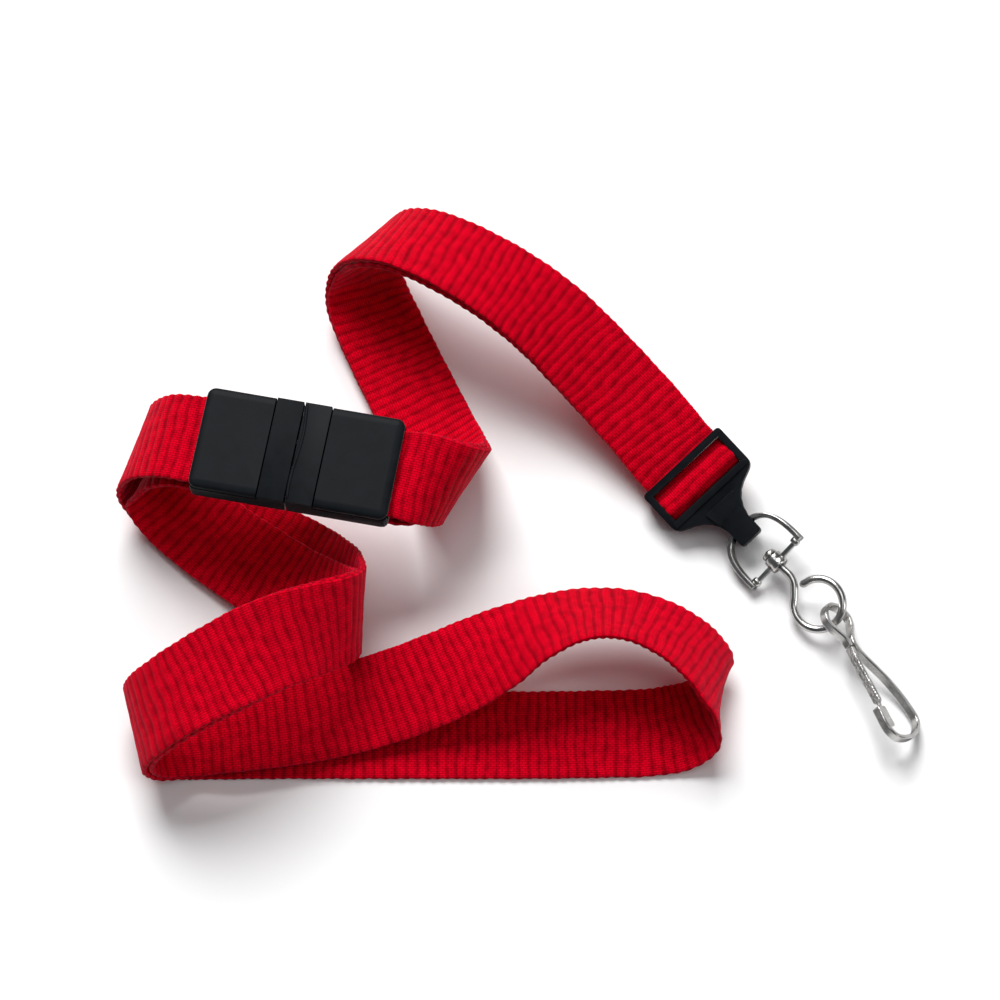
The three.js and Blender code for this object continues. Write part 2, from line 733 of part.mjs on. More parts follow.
// A rectangle from the parting line to a half's end, with only the end's corners rounded.
function halfOutline(side, length) {
  const roundFrom = length - buckle.corner;
  const shape = new THREE.Shape();
  shape.moveTo(side * partingFace, -halfWidth);
  shape.lineTo(side * roundFrom, -halfWidth);
  shape.quadraticCurveTo(side * length, -halfWidth, side * length, -halfWidth + buckle.corner);
  shape.lineTo(side * length, halfWidth - buckle.corner);
  shape.quadraticCurveTo(side * length, halfWidth, side * roundFrom, halfWidth);
  shape.lineTo(side * partingFace, halfWidth);
  return shape;
}

// One lower shell: a rounded block from the parting line to the end, hollow for the
// webbing and for the cover that clamps it. `side` is 1 for the plug, -1 for the socket.
function lowerShell(side, length) {
  const block = slab(halfOutline(side, length), [-halfHeight, halfHeight], 3);
  const coverFrom = side * buckle.noseLength;
  const coverTo = side * (length + 1);
  const cut = box(
    [Math.min(coverFrom, coverTo), Math.max(coverFrom, coverTo)],
    [-halfWidth - 1, halfWidth + 1],
    [slotHeight, halfHeight + 1],
  );
  const pocketFrom = side * (length - buckle.pocket - clearance);
  const pocket = box(
    [Math.min(pocketFrom, coverTo), Math.max(pocketFrom, coverTo)],
    [-slotHalf, slotHalf],
    [-slotHeight, slotHeight + 1],
  );
  return { block, cuts: [cut, pocket] };
}

// One clamp cover: the flat panel over the webbing.
function cover(side, length) {
  const from = side * (buckle.noseLength + clearance);
  const to = side * length;
  return slab(
    roundedRectangle([Math.min(from, to), Math.max(from, to)], [-halfWidth, halfWidth], 0.9),
    [slotHeight + clearance, coverTop],
    3,
  );
}

const prongHalf = buckle.prongThickness / 2;
function prong(y, grow, length) {
  return box(
    [-length, 1],
    [y - buckle.prongWidth / 2 - grow, y + buckle.prongWidth / 2 + grow],
    [-prongHalf - grow, prongHalf + grow],
  );
}
const prongPlaces = [-buckle.prongSpread, 0, buckle.prongSpread];

const plugShell = lowerShell(1, buckle.plugLength);
const prongs = prongPlaces.map((y) => prong(y, 0, buckle.prongLength));
addMesh(
  buckleGroup,
  'buckle_plug_shell',
  carved(plugShell.block, plugShell.cuts, prongs),
  finish.plastic(),
);
addMesh(buckleGroup, 'buckle_plug_cover', cover(1, buckle.plugLength), finish.plastic());

const socketShell = lowerShell(-1, buckle.socketLength);
const sockets = prongPlaces.map((y) => prong(y, clearance, buckle.prongLength + clearance));
addMesh(
  buckleGroup,
  'buckle_socket_shell',
  carved(socketShell.block, [...socketShell.cuts, ...sockets]),
  finish.plastic(),
);
addMesh(buckleGroup, 'buckle_socket_cover', cover(-1, buckle.socketLength), finish.plastic());

// ---- Stand the whole on the table, centred --------------------------------------
object.updateMatrixWorld(true);
const bounds = new THREE.Box3().setFromObject(object, true);
const middle = bounds.getCenter(new THREE.Vector3());
object.position.set(-middle.x, -middle.y, -bounds.min.z);
object.updateMatrixWorld(true);

export default object;
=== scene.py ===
"""A folded webbing neck lanyard with a breakaway buckle, a slider and a swivel spring hook.

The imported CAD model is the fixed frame. Each section below makes one piece of the lanyard
in the frame's own metres, gives it its material and fixes it to its body.
"""

import math

import bmesh
import bpy
import numpy as np
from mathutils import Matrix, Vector


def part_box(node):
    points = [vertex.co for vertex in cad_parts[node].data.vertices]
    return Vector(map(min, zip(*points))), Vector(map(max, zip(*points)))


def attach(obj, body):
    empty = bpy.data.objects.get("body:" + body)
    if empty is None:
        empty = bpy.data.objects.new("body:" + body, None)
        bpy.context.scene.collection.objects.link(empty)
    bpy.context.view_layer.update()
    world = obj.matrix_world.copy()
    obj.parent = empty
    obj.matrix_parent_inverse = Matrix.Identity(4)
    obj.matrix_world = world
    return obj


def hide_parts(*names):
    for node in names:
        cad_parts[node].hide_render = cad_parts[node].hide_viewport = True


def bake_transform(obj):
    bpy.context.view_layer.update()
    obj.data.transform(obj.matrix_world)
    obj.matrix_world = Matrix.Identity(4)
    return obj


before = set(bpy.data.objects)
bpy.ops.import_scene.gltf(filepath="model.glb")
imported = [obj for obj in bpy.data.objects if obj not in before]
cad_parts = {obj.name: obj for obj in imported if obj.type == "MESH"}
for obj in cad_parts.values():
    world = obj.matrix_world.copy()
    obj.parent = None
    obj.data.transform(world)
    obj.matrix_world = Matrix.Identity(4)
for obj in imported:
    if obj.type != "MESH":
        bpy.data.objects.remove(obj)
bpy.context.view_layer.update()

# ---- Table, camera and light ------------------------------------------------------------
# A white table top, a long lens looking down on it, and large soft lamps: the strongest
# stands behind the lanyard and lights what faces up and away.
AIM = Vector((-0.00266, 0.00165, 0.0001))
CAMERA_DISTANCE = 0.6
CAMERA_ELEVATION = math.radians(68)
LENS = 120.96


def add_camera():
    """A camera on a circle round the aim point, turned to look at it."""
    data = bpy.data.cameras.new("camera")
    data.lens = LENS
    data.sensor_width = 36
    data.clip_start = 0.05
    camera = bpy.data.objects.new("camera", data)
    bpy.context.scene.collection.objects.link(camera)
    back = Vector((0, -math.cos(CAMERA_ELEVATION), math.sin(CAMERA_ELEVATION)))
    camera.location = AIM + back * CAMERA_DISTANCE
    camera.rotation_euler = back.to_track_quat("Z", "Y").to_euler()
    bpy.context.scene.camera = camera


def add_lamp(name, place, size, watts, colour=(1, 1, 1)):
    """A square area lamp that faces the middle of the table."""
    data = bpy.data.lights.new(name, "AREA")
    data.shape = "SQUARE"
    data.size = size
    data.energy = watts
    data.color = colour
    lamp = bpy.data.objects.new(name, data)
    lamp.location = place
    lamp.rotation_euler = Vector(place).to_track_quat("Z", "Y").to_euler()
    bpy.context.scene.collection.objects.link(lamp)


def add_table():
    """A wide flat square of matt white at height zero."""
    half = 3.0
    mesh = bpy.data.meshes.new("table")
    corners = [(-half, -half, 0), (half, -half, 0), (half, half, 0), (-half, half, 0)]
    mesh.from_pydata(corners, [], [(0, 1, 2, 3)])
    table = bpy.data.objects.new("table", mesh)
    bpy.context.scene.collection.objects.link(table)
    paint = bpy.data.materials.new("table_white")
    paint.use_nodes = True
    shader = paint.node_tree.nodes["Principled BSDF"]
    shader.inputs["Base Color"].default_value = (0.93, 0.93, 0.93, 1)
    shader.inputs["Roughness"].default_value = 0.9
    shader.inputs["Specular IOR Level"].default_value = 0.1
    mesh.materials.append(paint)


add_camera()
add_table()
add_lamp("key_lamp", (-0.25, 0.95, 1.25), 0.9, 33)
add_lamp("top_lamp", (0.15, -0.1, 1.6), 0.8, 3.5)
add_lamp("side_lamp", (1.1, -0.35, 0.7), 0.35, 3)
bpy.context.scene.view_settings.view_transform = "Standard"
world = bpy.data.worlds.new("studio")
world.use_nodes = True
world.node_tree.nodes["Background"].inputs["Color"].default_value = (0.9, 0.94, 1.0, 1)
world.node_tree.nodes["Background"].inputs["Strength"].default_value = 0.09
bpy.context.scene.world = world

# ---- Webbing ----------------------------------------------------------------------------
# One strip of woven polyester, ribbed across its width, 16 mm wide. It runs from the socket
# half of the buckle down and back on itself in two plies, round the slider's bar, and up to
# the plug half. The route's stations are x, y, z, bearing and rise of the direction across.
MM = 0.001
WEBBING_WIDTH = 16.0
WEBBING_THICKNESS = 1.0
GAP = 0.3
PLY_OFFSET = (WEBBING_THICKNESS + GAP) / 2
DOUBLED_ROUTE = [
    (23.8, 11.2, 7.4, 40, 14),
    (18, 17.4, 9.4, 39, 9),
    (12, 23, 12.4, 41, 5),
    (7, 27.3, 15, 46, 0),
    (2, 30.7, 17.5, 53, -4),
    (-3.5, 34, 19.5, 58, -8),
    (-9, 37, 20.5, 60, -11),
    (-14.5, 39.8, 20.7, 58, -14),
    (-20, 42.2, 19.6, 53, -15),
    (-24.7, 43.6, 16.4, 49, -13),
    (-27.3, 43.8, 11, 46, -10),
    (-27.9, 41.5, 6, 44, -8),
    (-27, 38, 3.4, 41, -5),
    (-24.2, 31.5, 2.2, 37, -2),
    (-19.6, 21.5, 2.2, 34, 2),
    (-14.8, 11, 3.6, 37, 8),
    (-11.2, 2.5, 7.5, 43, 16),
    (-9.8, -2.6, 14, 52, 27),
    (-12, -4.8, 19.2, 60, 30),
    (-16.4, -4.8, 21.6, 72, 16),
    (-20.5, -4, 21.3, 79.5, 3),
    (-37.8, -0.8, 21.3, 79.5, 3),
    (-55, 2.4, 21.3, 79.5, 3),
    (-60.6, 3.7, 20, 78, 0),
    (-65, 4.5, 15.5, 74, -2),
    (-66.5, 4.2, 10, 70, -1),
    (-65.2, 2.6, 5, 65, 0),
    (-61.4, -1.3, 2, 61, 0),
    (-54.6, -7.4, 1.6, 58, 0),
    (-46.4, -13.6, 2.6, 57, 5),
    (-38, -19.6, 4.6, 62, 18),
    (-30.4, -24.2, 9, 73, 33),
    (-27.5, -27, 14.5, 85, 41),
    (-29.3, -29.9, 19.8, 90, 40),
    (-34.6, -32.6, 22.2, 92, 30),
    (-42, -35.6, 22.8, 95, 17),
    (-50.5, -39.7, 21.6, 100, 6),
    (-58.4, -43.4, 18.5, 104, 0),
    (-63.4, -45.4, 13.5, 105, 0),
    (-64.7, -45.8, 8.5, 104, 0),
    (-62.8, -45.4, 3.8, 101, 0),
    (-57.4, -44.4, 1.35, 98, 0),
]
LOOP_ROUTE = [
    (-50.8, -43.8, 2.8, 100, 2),
    (-43, -43, 3.6, 105, 8),
    (-35.7, -42, 4.2, 112, 13),
    (-28, -40.5, 5, 114, 14),
    (-19.9, -38.4, 6.4, 114, 14),
    (-11, -35.3, 8.4, 111, 6),
    (-3.1, -31.8, 10.4, 105, -9),
    (3.6, -28.7, 12.3, 100, -27),
    (11.4, -26.5, 13.2, 94, -37),
    (19.3, -26.7, 13.2, 86, -38),
    (26.8, -29.7, 12.8, 79, -34),
    (32.6, -34.3, 11, 75, -28),
    (35, -38.2, 7.8, 77, -17),
    (33.4, -40.8, 4.2, 80, -3),
    (29.2, -42.8, 1.7, 83, 3),
    (23.6, -43.7, 0.7, 86, 1),
    (14.5, -44, 0.55, 89, 0),
    (2, -44.2, 0.55, 91, 0),
    (-10, -44.2, 0.55, 92, 0),
    (-25, -44.2, 0.55, 94, 0),
    (-40.2, -44.2, 0.55, 96, 0),
    (-50, -44.3, 0.6, 97, 0),
]
BUCKLE_FROM, BUCKLE_TO, TAIL_END = 22, 24, 32
SLIP_FROM, SLIP_PEAK, SLIP_TO, SLIP_MOST = 27.5, 31.6, 35, 4.8

SLIDER_AT = (32.1, 1.45, 5.8)
SLIDER_X, SLIDER_Y = (40, 18), (-50, -10)
SLIDER_THICKNESS, REAR_BAR, WINDOW_LENGTH = 3.6, 1.3, 5.8
FRAME_REAR = -4.4
ENTRY_HEIGHT = REAR_BAR - SLIDER_THICKNESS / 2 + GAP + WEBBING_THICKNESS + GAP / 2


def unit(vectors):
    """Each vector divided by its length."""
    return vectors / np.linalg.norm(vectors, axis=-1, keepdims=True)


def direction(bearing, rise):
    """Unit vectors from compass bearings and rises in degrees: level part along the bearing."""
    b, r = np.radians(bearing), np.radians(rise)
    return np.stack([np.cos(r) * np.cos(b), np.cos(r) * np.sin(b), np.sin(r)], axis=-1)


def placed(at, x, y):
    """A 4 x 4 matrix with its X along x and its Y along the part of y square to it."""
    across = unit(np.asarray(x, float))
    along = unit(np.asarray(y, float) - across * np.dot(y, across))
    matrix = np.eye(4)
    matrix[:3, 0], matrix[:3, 1], matrix[:3, 2] = across, along, np.cross(across, along)
    matrix[:3, 3] = at
    return matrix


def moved(matrix, points):
    """Points carried by a 4 x 4 matrix."""
    return np.asarray(points, float) @ matrix[:3, :3].T + matrix[:3, 3]


def catmull_rom(points, places, centripetal):
    """A Catmull-Rom curve at fractional places along its points. Each stretch is the cubic
    Hermite curve through two points; centripetal knots are spaced by the root of distance."""
    points = np.asarray(points, float)
    ends = 2 * points[[0]] - points[[1]], 2 * points[[-1]] - points[[-2]]
    p = np.vstack([ends[0], points, ends[1]])
    i = np.clip(np.floor(places).astype(int), 0, len(points) - 2)
    w = (places - i)[:, None]
    p0, p1, p2, p3 = p[i], p[i + 1], p[i + 2], p[i + 3]
    if centripetal:
        d0, d1, d2 = (
            np.maximum(np.linalg.norm(b - a, axis=1, keepdims=True), 1e-9) ** 0.5
            for a, b in ((p0, p1), (p1, p2), (p2, p3))
        )
        m1 = ((p1 - p0) / d0 - (p2 - p0) / (d0 + d1) + (p2 - p1) / d1) * d1
        m2 = ((p2 - p1) / d1 - (p3 - p1) / (d1 + d2) + (p3 - p2) / d2) * d1
    else:
        m1, m2 = (p2 - p0) / 2, (p3 - p1) / 2
    h1 = 2 * w**3 - 3 * w**2 + 1
    h2 = w**3 - 2 * w**2 + w
    h3 = -2 * w**3 + 3 * w**2
    h4 = w**3 - w**2
    return h1 * p1 + h2 * m1 + h3 * p2 + h4 * m2


def route_at(stations, places):
    """Middle, direction across and outward normal of a webbing route at the given places:
    outward is across times the tangent."""
    stations = np.asarray(stations, float)
    places = np.atleast_1d(np.asarray(places, float))
    last = len(stations) - 1
    middle = catmull_rom(stations[:, :3], places, True)
    step = 1e-4 * last
    before = catmull_rom(stations[:, :3], np.clip(places - step, 0, last), True)
    after = catmull_rom(stations[:, :3], np.clip(places + step, 0, last), True)
    tangent = unit(after - before)
    across = catmull_rom(direction(stations[:, 3], stations[:, 4]), places, False)
    across = unit(across - tangent * np.sum(across * tangent, axis=1, keepdims=True))
    return middle, across, np.cross(across, tangent)


def smoothstep(value, low, high):
    """0 below low, 1 above high, and 3t^2 - 2t^3 between them."""
    t = np.clip((value - low) / (high - low), 0, 1)
    return t * t * (3 - 2 * t)


def station(middle, across):
    """A route station that has this middle and this direction across."""
    rise = math.degrees(math.asin(across[2]))
    return (*middle, math.degrees(math.atan2(across[1], across[0])), rise)


slider_matrix = placed(SLIDER_AT, direction(*SLIDER_X), direction(*SLIDER_Y))
doubled_stations = [
    station(moved(slider_matrix, (0, y, ENTRY_HEIGHT)), slider_matrix[:3, 0])
    for y in (FRAME_REAR - GAP, FRAME_REAR - 2.4)
] + DOUBLED_ROUTE
LAST = len(doubled_stations) - 1
BUCKLE_WIDTH, BUCKLE_HEIGHT = 18.4, 5.0
BACK_DROP = BUCKLE_HEIGHT / 2 + GAP + WEBBING_THICKNESS / 2


def outer_ply(places):
    """The outer ply: half a ply's pitch outside the route, and slipped sideways beside the
    right-hand curl below the buckle."""
    middle, across, outward = route_at(doubled_stations, places)
    risen = smoothstep(places, SLIP_FROM, SLIP_PEAK)
    fallen = smoothstep(places, SLIP_PEAK, SLIP_TO)
    slip = SLIP_MOST * (risen - fallen)
    return middle + outward * PLY_OFFSET + across * slip[:, None], across


def inner_ply(places):
    """The inner ply: half a ply's pitch inside the route, and further in behind the buckle."""
    middle, across, outward = route_at(doubled_stations, places)
    low = smoothstep(places, BUCKLE_FROM - 2.2, BUCKLE_FROM - 0.1)
    high = smoothstep(places, BUCKLE_TO + 2.4, BUCKLE_TO + 5.4)
    drop = PLY_OFFSET + (BACK_DROP - PLY_OFFSET) * (low - high)
    return middle - outward * drop[:, None], across


def place_in_frame():
    """How far the frame's numbers lie from the route's, from the back strand's lowest corner."""
    count = LAST * 4
    middle, across = inner_ply(np.linspace(0, LAST, count + 1))
    _, _, outward = route_at(doubled_stations, np.linspace(0, LAST, count + 1))
    corners = [
        middle + across * side * WEBBING_WIDTH / 2 + outward * face * WEBBING_THICKNESS / 2
        for side in (-1, 1)
        for face in (-1, 1)
    ]
    low = np.concatenate(corners).min(axis=0)
    return np.array(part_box("webbing_back_strand")[0]) / MM - low


SHIFT = place_in_frame()

# The buckle's line: X from the socket half to the plug half, the parting line at the origin.
SOCKET_LENGTH, PLUG_LENGTH = 17.0, 17.8
POCKET = 8.6
buckle_ends, buckle_across = outer_ply(np.array([BUCKLE_FROM, BUCKLE_TO], float))
plug_end, socket_end = buckle_ends
parting = socket_end + (plug_end - socket_end) * SOCKET_LENGTH / (SOCKET_LENGTH + PLUG_LENGTH)
buckle_matrix = placed(parting, plug_end - socket_end, buckle_across[0])

# The fold round the slider's bar, as places along and above the slider. Its front is pushed
# forward, just into the frame's front bar, so that no light passes between them.
BAR_RADIUS = 0.8
WINDOW_FRONT = FRAME_REAR + REAR_BAR + WINDOW_LENGTH
BAR_MIDDLE = WINDOW_FRONT - 2 * GAP - WEBBING_THICKNESS - BAR_RADIUS
FOLD_RADIUS = BAR_RADIUS + GAP + WEBBING_THICKNESS / 2
FOLD_PATH = [
    (FRAME_REAR, ENTRY_HEIGHT + PLY_OFFSET),
    (FRAME_REAR + REAR_BAR, ENTRY_HEIGHT + PLY_OFFSET),
    (BAR_MIDDLE - 1.4, FOLD_RADIUS * 0.72),
    (BAR_MIDDLE, FOLD_RADIUS),
    (BAR_MIDDLE + FOLD_RADIUS * 0.75 + 0.3, FOLD_RADIUS * 0.7),
    (BAR_MIDDLE + FOLD_RADIUS + 0.5, 0),
    (BAR_MIDDLE + FOLD_RADIUS * 0.75 + 0.3, -FOLD_RADIUS * 0.7),
    (BAR_MIDDLE, -FOLD_RADIUS),
    (FRAME_REAR + REAR_BAR, ENTRY_HEIGHT - PLY_OFFSET),
    (FRAME_REAR, ENTRY_HEIGHT - PLY_OFFSET),
]


def webbing_line():
    """Middle and direction across at many places along the whole strip, from inside the
    socket half to inside the plug half, and how many of them come before the tail's end."""
    dense = 24
    end = LAST - 1

    def held(side, length):
        """The flat end inside one half: points on the buckle's line, over the pocket."""
        x = side * (length - POCKET + POCKET * np.linspace(0, 1, 8))
        flat = np.stack([x, 0 * x, 0 * x], axis=1)
        return moved(buckle_matrix, flat), np.tile(buckle_matrix[:3, 1], (8, 1))

    def ends(offset):
        """The route's last two stations, moved along the outward normal by the offset."""
        middle, across, outward = route_at(doubled_stations, [end, LAST])
        return [station(m, a) for m, a in zip(middle + outward * offset, across)]

    inner, outer = ends(-PLY_OFFSET), ends(PLY_OFFSET)
    loop = inner + LOOP_ROUTE + outer[::-1]
    loop_places = np.linspace(len(loop) - 2, 1, (len(loop) - 3) * dense)
    fold = np.array([(0, y, z) for y, z in FOLD_PATH])
    fold_points = catmull_rom(fold, np.linspace(0, len(fold) - 1, 120), True)
    fold_line = moved(slider_matrix, fold_points)
    tail = outer_ply(np.arange(BUCKLE_TO + 0.15, TAIL_END, 1 / dense))
    strand = outer_ply(np.arange(TAIL_END, LAST, 1 / dense))
    loop_line = route_at(loop, loop_places)[:2]
    back = inner_ply(np.arange(LAST, 0, -1 / dense))
    front = outer_ply(np.arange(0.05, BUCKLE_FROM - 0.15, 1 / dense))
    socket, plug = held(-1, SOCKET_LENGTH), held(1, PLUG_LENGTH)
    runs = [socket, tail, strand, loop_line, back]
    runs.append((fold_line, np.tile(slider_matrix[:3, 0], (len(fold_line), 1))))
    runs += [front, (plug[0][::-1], plug[1])]
    middle = np.concatenate([run[0] for run in runs])
    across = np.concatenate([run[1] for run in runs])
    return middle, across, len(socket[0]) + len(tail[0])


def even_line(middle, across, step):
    """The same line sampled at even steps of length, smoothed over its joins by a running
    mean, with the length at each sample, at each point given, and which points were kept."""
    far = np.linalg.norm(np.diff(middle, axis=0), axis=1)
    keep = np.concatenate([[True], far > 1e-3])
    middle, across = middle[keep], across[keep]
    along = np.concatenate([[0], np.cumsum(np.linalg.norm(np.diff(middle, axis=0), axis=1))])
    marks = np.arange(0, along[-1], step)
    line = np.stack([np.interp(marks, along, middle[:, k]) for k in range(3)], axis=1)
    side = np.stack([np.interp(marks, along, across[:, k]) for k in range(3)], axis=1)
    reach = 3
    kernel = np.ones(2 * reach + 1) / (2 * reach + 1)
    for values in (line, side):
        for k in range(3):
            smooth = np.convolve(np.pad(values[:, k], reach, "edge"), kernel, "valid")
            values[reach:-reach, k] = smooth[reach:-reach]
    return line, side, marks, along, keep


RIB_PITCH = 1.75
STEP = 0.33
raw_middle, raw_across, tail_samples = webbing_line()
line, side, marks, along, kept = even_line(raw_middle, raw_across, STEP)
tail_length = along[np.sum(kept[:tail_samples]) - 1]


def rib_phase(length, across):
    """Ribs' phase at a length along and a place across the webbing: one turn each pitch,
    with slow wandering that bends each rib a little and makes some wider than others."""
    wander = 0.9 * np.sin(length * 0.31 + 0.7) + 0.8 * np.sin(length * 0.137 + 2.1)
    bend = 0.5 * np.sin(across * 0.42 + length * 0.21)
    bend = bend + 0.4 * np.sin(across * 0.9 + length * 0.5)
    return 2 * np.pi * length / RIB_PITCH + wander + bend


def mesh_object(name, points, faces, smooth=True):
    """A new mesh object at the origin from points in metres and faces."""
    mesh = bpy.data.meshes.new(name)
    mesh.from_pydata(np.asarray(points).tolist(), [], faces)
    mesh.polygons.foreach_set("use_smooth", np.full(len(mesh.polygons), smooth))
    mesh.update()
    thing = bpy.data.objects.new(name, mesh)
    bpy.context.scene.collection.objects.link(thing)
    return thing


def tube_faces(rings, count):
    """Quads between successive closed rings of `count` points, and a face over each end."""
    i = np.arange(rings - 1)[:, None] * count
    j = np.arange(count)[None, :]
    k = (j + 1) % count
    quads = np.stack([i + j, i + k, i + count + k, i + count + j], axis=-1).reshape(-1, 4)
    last = (rings - 1) * count
    return quads.tolist() + [list(range(count))[::-1], list(range(last, last + count))]


def webbing_mesh(name, first, last):
    """The strip between two samples of the line: a flat section with beaded edges, its two
    faces raised into ribs by the cosine of the rib phase, the edges drawn in between ribs.
    The under face's ribs stand opposite the upper face's grooves."""
    middle, length = line[first:last], marks[first:last]
    travel = unit(np.gradient(line, axis=0))[first:last]
    across = side[first:last]
    across = unit(across - travel * np.sum(across * travel, axis=1, keepdims=True))
    normal = np.cross(across, travel)
    half, edge, flat_points = WEBBING_WIDTH / 2, 0.45, 15
    flat = np.linspace(-1, 1, flat_points) * (half - edge)
    turn = np.radians([-60, -25, 25, 60])
    edge_u, edge_n = half - edge + edge * np.cos(turn), np.sin(turn)
    u = np.concatenate([flat, edge_u[::-1], flat[::-1], -edge_u])
    level = np.concatenate([np.ones(flat_points), edge_n[::-1], -np.ones(flat_points), edge_n])
    phase = rib_phase(length[:, None], u[None, :])
    upper = level[None, :] > 0
    crest = 0.5 + 0.5 * np.cos(phase + np.where(upper, 0, np.pi))
    crest = crest**0.7
    ripple = np.sin(length[:, None] * 0.9 + u * 0.7) * np.cos(length[:, None] * 0.37 - u)
    swell = 1 + 0.25 * ripple
    thick = (WEBBING_THICKNESS / 2 - 0.13) + 0.17 * crest * swell
    bead = 1 - 0.02 * (1 - crest) * (np.abs(u) > half - 0.5)
    bead = bead + 0.004 * np.sin(length * 0.9)[:, None] * (np.abs(u) > 4)
    points = (
        middle[:, None, :]
        + across[:, None, :] * (u[None, :] * bead)[..., None]
        + normal[:, None, :] * (level[None, :] * thick)[..., None]
    )
    count = len(u)
    points = ((points + SHIFT) * MM).reshape(-1, 3)
    faces = tube_faces(len(middle), count)
    strip = mesh_object(name, points, faces)
    mesh = strip.data
    # Each point keeps its rib height; the material paints shade into the grooves from it.
    rib = mesh.attributes.new("rib", "FLOAT", "POINT")
    rib.data.foreach_set("value", crest.reshape(-1).astype(np.float32))
    uv = mesh.uv_layers.new(name="weave")
    corner = np.zeros(len(mesh.loops), int)
    mesh.loops.foreach_get("vertex_index", corner)
    lengthwise = np.repeat(length, count)[corner]
    crosswise = np.tile(u, len(length))[corner]
    uv.data.foreach_set("uv", np.stack([lengthwise, crosswise], axis=1).ravel() * 0.1)
    return strip


def node(tree, kind, **inputs):
    """A new shader node with some of its inputs set."""
    made = tree.nodes.new(kind)
    for key, value in inputs.items():
        made.inputs[key].default_value = value
    return made


def webbing_material():
    """Red polyester: rows of fine stitches all over, and painted shade in the grooves between
    ribs.
    """
    made = bpy.data.materials.new("webbing_red")
    made.use_nodes = True
    tree = made.node_tree
    link = tree.links.new
    shader = tree.nodes["Principled BSDF"]
    uv = tree.nodes.new("ShaderNodeUVMap")
    uv.uv_map = "weave"
    rib = tree.nodes.new("ShaderNodeAttribute")
    rib.attribute_name = "rib"
    stretch = tree.nodes.new("ShaderNodeMapping")
    stretch.inputs["Scale"].default_value = (10, 10, 10)
    link(uv.outputs["UV"], stretch.inputs["Vector"])
    stitch = node(tree, "ShaderNodeTexBrick", Scale=1.0)
    stitch.offset = 0.5
    stitch.inputs["Brick Width"].default_value = 0.98
    stitch.inputs["Row Height"].default_value = 0.42
    stitch.inputs["Mortar Size"].default_value = 0.07
    stitch.inputs["Mortar Smooth"].default_value = 1.0
    stitch.inputs["Color1"].default_value = (1, 1, 1, 1)
    stitch.inputs["Color2"].default_value = (0.8, 0.8, 0.8, 1)
    stitch.inputs["Mortar"].default_value = (0, 0, 0, 1)
    link(stretch.outputs["Vector"], stitch.inputs["Vector"])
    mottle = node(tree, "ShaderNodeTexNoise", Scale=0.5, Detail=3.0)
    link(stretch.outputs["Vector"], mottle.inputs["Vector"])
    fuzz = node(tree, "ShaderNodeTexNoise", Scale=3.5, Detail=4.0)
    link(stretch.outputs["Vector"], fuzz.inputs["Vector"])

    # Painted shade: the rib height, varied by the mottle noise, darkens the colour in the
    # grooves between ribs, where shade falls.
    groove = tree.nodes.new("ShaderNodeMath")
    groove.operation = "MULTIPLY_ADD"
    groove.inputs[1].default_value = 0.55
    link(mottle.outputs["Fac"], groove.inputs[0])
    link(rib.outputs["Fac"], groove.inputs[2])
    shade = tree.nodes.new("ShaderNodeMapRange")
    shade.inputs["From Min"].default_value = 0.22
    shade.inputs["From Max"].default_value = 0.92
    shade.inputs["To Min"].default_value = 0.46
    shade.inputs["To Max"].default_value = 1.0
    link(groove.outputs["Value"], shade.inputs["Value"])
    weave = tree.nodes.new("ShaderNodeMapRange")
    weave.inputs["To Min"].default_value = 0.36
    weave.inputs["To Max"].default_value = 1.06
    link(stitch.outputs["Color"], weave.inputs["Value"])
    patch = tree.nodes.new("ShaderNodeMapRange")
    patch.inputs["From Min"].default_value = 0.3
    patch.inputs["From Max"].default_value = 0.7
    patch.inputs["To Min"].default_value = 0.74
    patch.inputs["To Max"].default_value = 1.1
    link(mottle.outputs["Fac"], patch.inputs["Value"])
    first = tree.nodes.new("ShaderNodeMath")
    first.operation = "MULTIPLY"
    link(shade.outputs["Result"], first.inputs[0])
    link(weave.outputs["Result"], first.inputs[1])
    second = tree.nodes.new("ShaderNodeMath")
    second.operation = "MULTIPLY"
    link(first.outputs["Value"], second.inputs[0])
    link(patch.outputs["Result"], second.inputs[1])
    # The colour runs from near black, in the deepest painted groove shade, to the webbing's red.
    tint = tree.nodes.new("ShaderNodeValToRGB")
    tint.color_ramp.elements[0].position = 0.0
    tint.color_ramp.elements[0].color = (0.02, 0.0, 0.0, 1)
    tint.color_ramp.elements[1].position = 1.0
    tint.color_ramp.elements[1].color = (0.72, 0.0, 0.014, 1)
    link(second.outputs["Value"], tint.inputs["Fac"])
    link(tint.outputs["Color"], shader.inputs["Base Color"])

    high = tree.nodes.new("ShaderNodeMath")
    high.operation = "MULTIPLY_ADD"
    high.inputs[1].default_value = 0.35
    link(fuzz.outputs["Fac"], high.inputs[0])
    link(stitch.outputs["Color"], high.inputs[2])
    bump = node(tree, "ShaderNodeBump", Strength=0.5, Distance=0.00022)
    link(high.outputs["Value"], bump.inputs["Height"])
    link(bump.outputs["Normal"], shader.inputs["Normal"])
    shader.inputs["Roughness"].default_value = 0.72
    shader.inputs["Specular IOR Level"].default_value = 0.12
    shader.inputs["Specular Tint"].default_value = (1.0, 0.1, 0.2, 1)
    shader.inputs["Sheen Weight"].default_value = 0.25
    shader.inputs["Sheen Roughness"].default_value = 0.4
    shader.inputs["Sheen Tint"].default_value = (1.0, 0.02, 0.14, 1)
    return made


webbing_red = webbing_material()
split = int(round(tail_length / STEP))
tail = webbing_mesh("webbing_tail", 0, split + 1)
strip = webbing_mesh("webbing_strip", split, len(marks))
for piece in (tail, strip):
    piece.data.materials.append(webbing_red)
    piece.visible_glossy = False
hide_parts("webbing_buckle_tail")
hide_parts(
    "webbing_buckle_strand",
    "webbing_end_loop",
    "webbing_back_strand",
    "webbing_slider_fold",
    "webbing_front_strand",
)
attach(strip, "lanyard")
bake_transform(tail)
print("webbing length, mm", round(float(marks[-1]), 1), "tail", round(float(tail_length), 1))

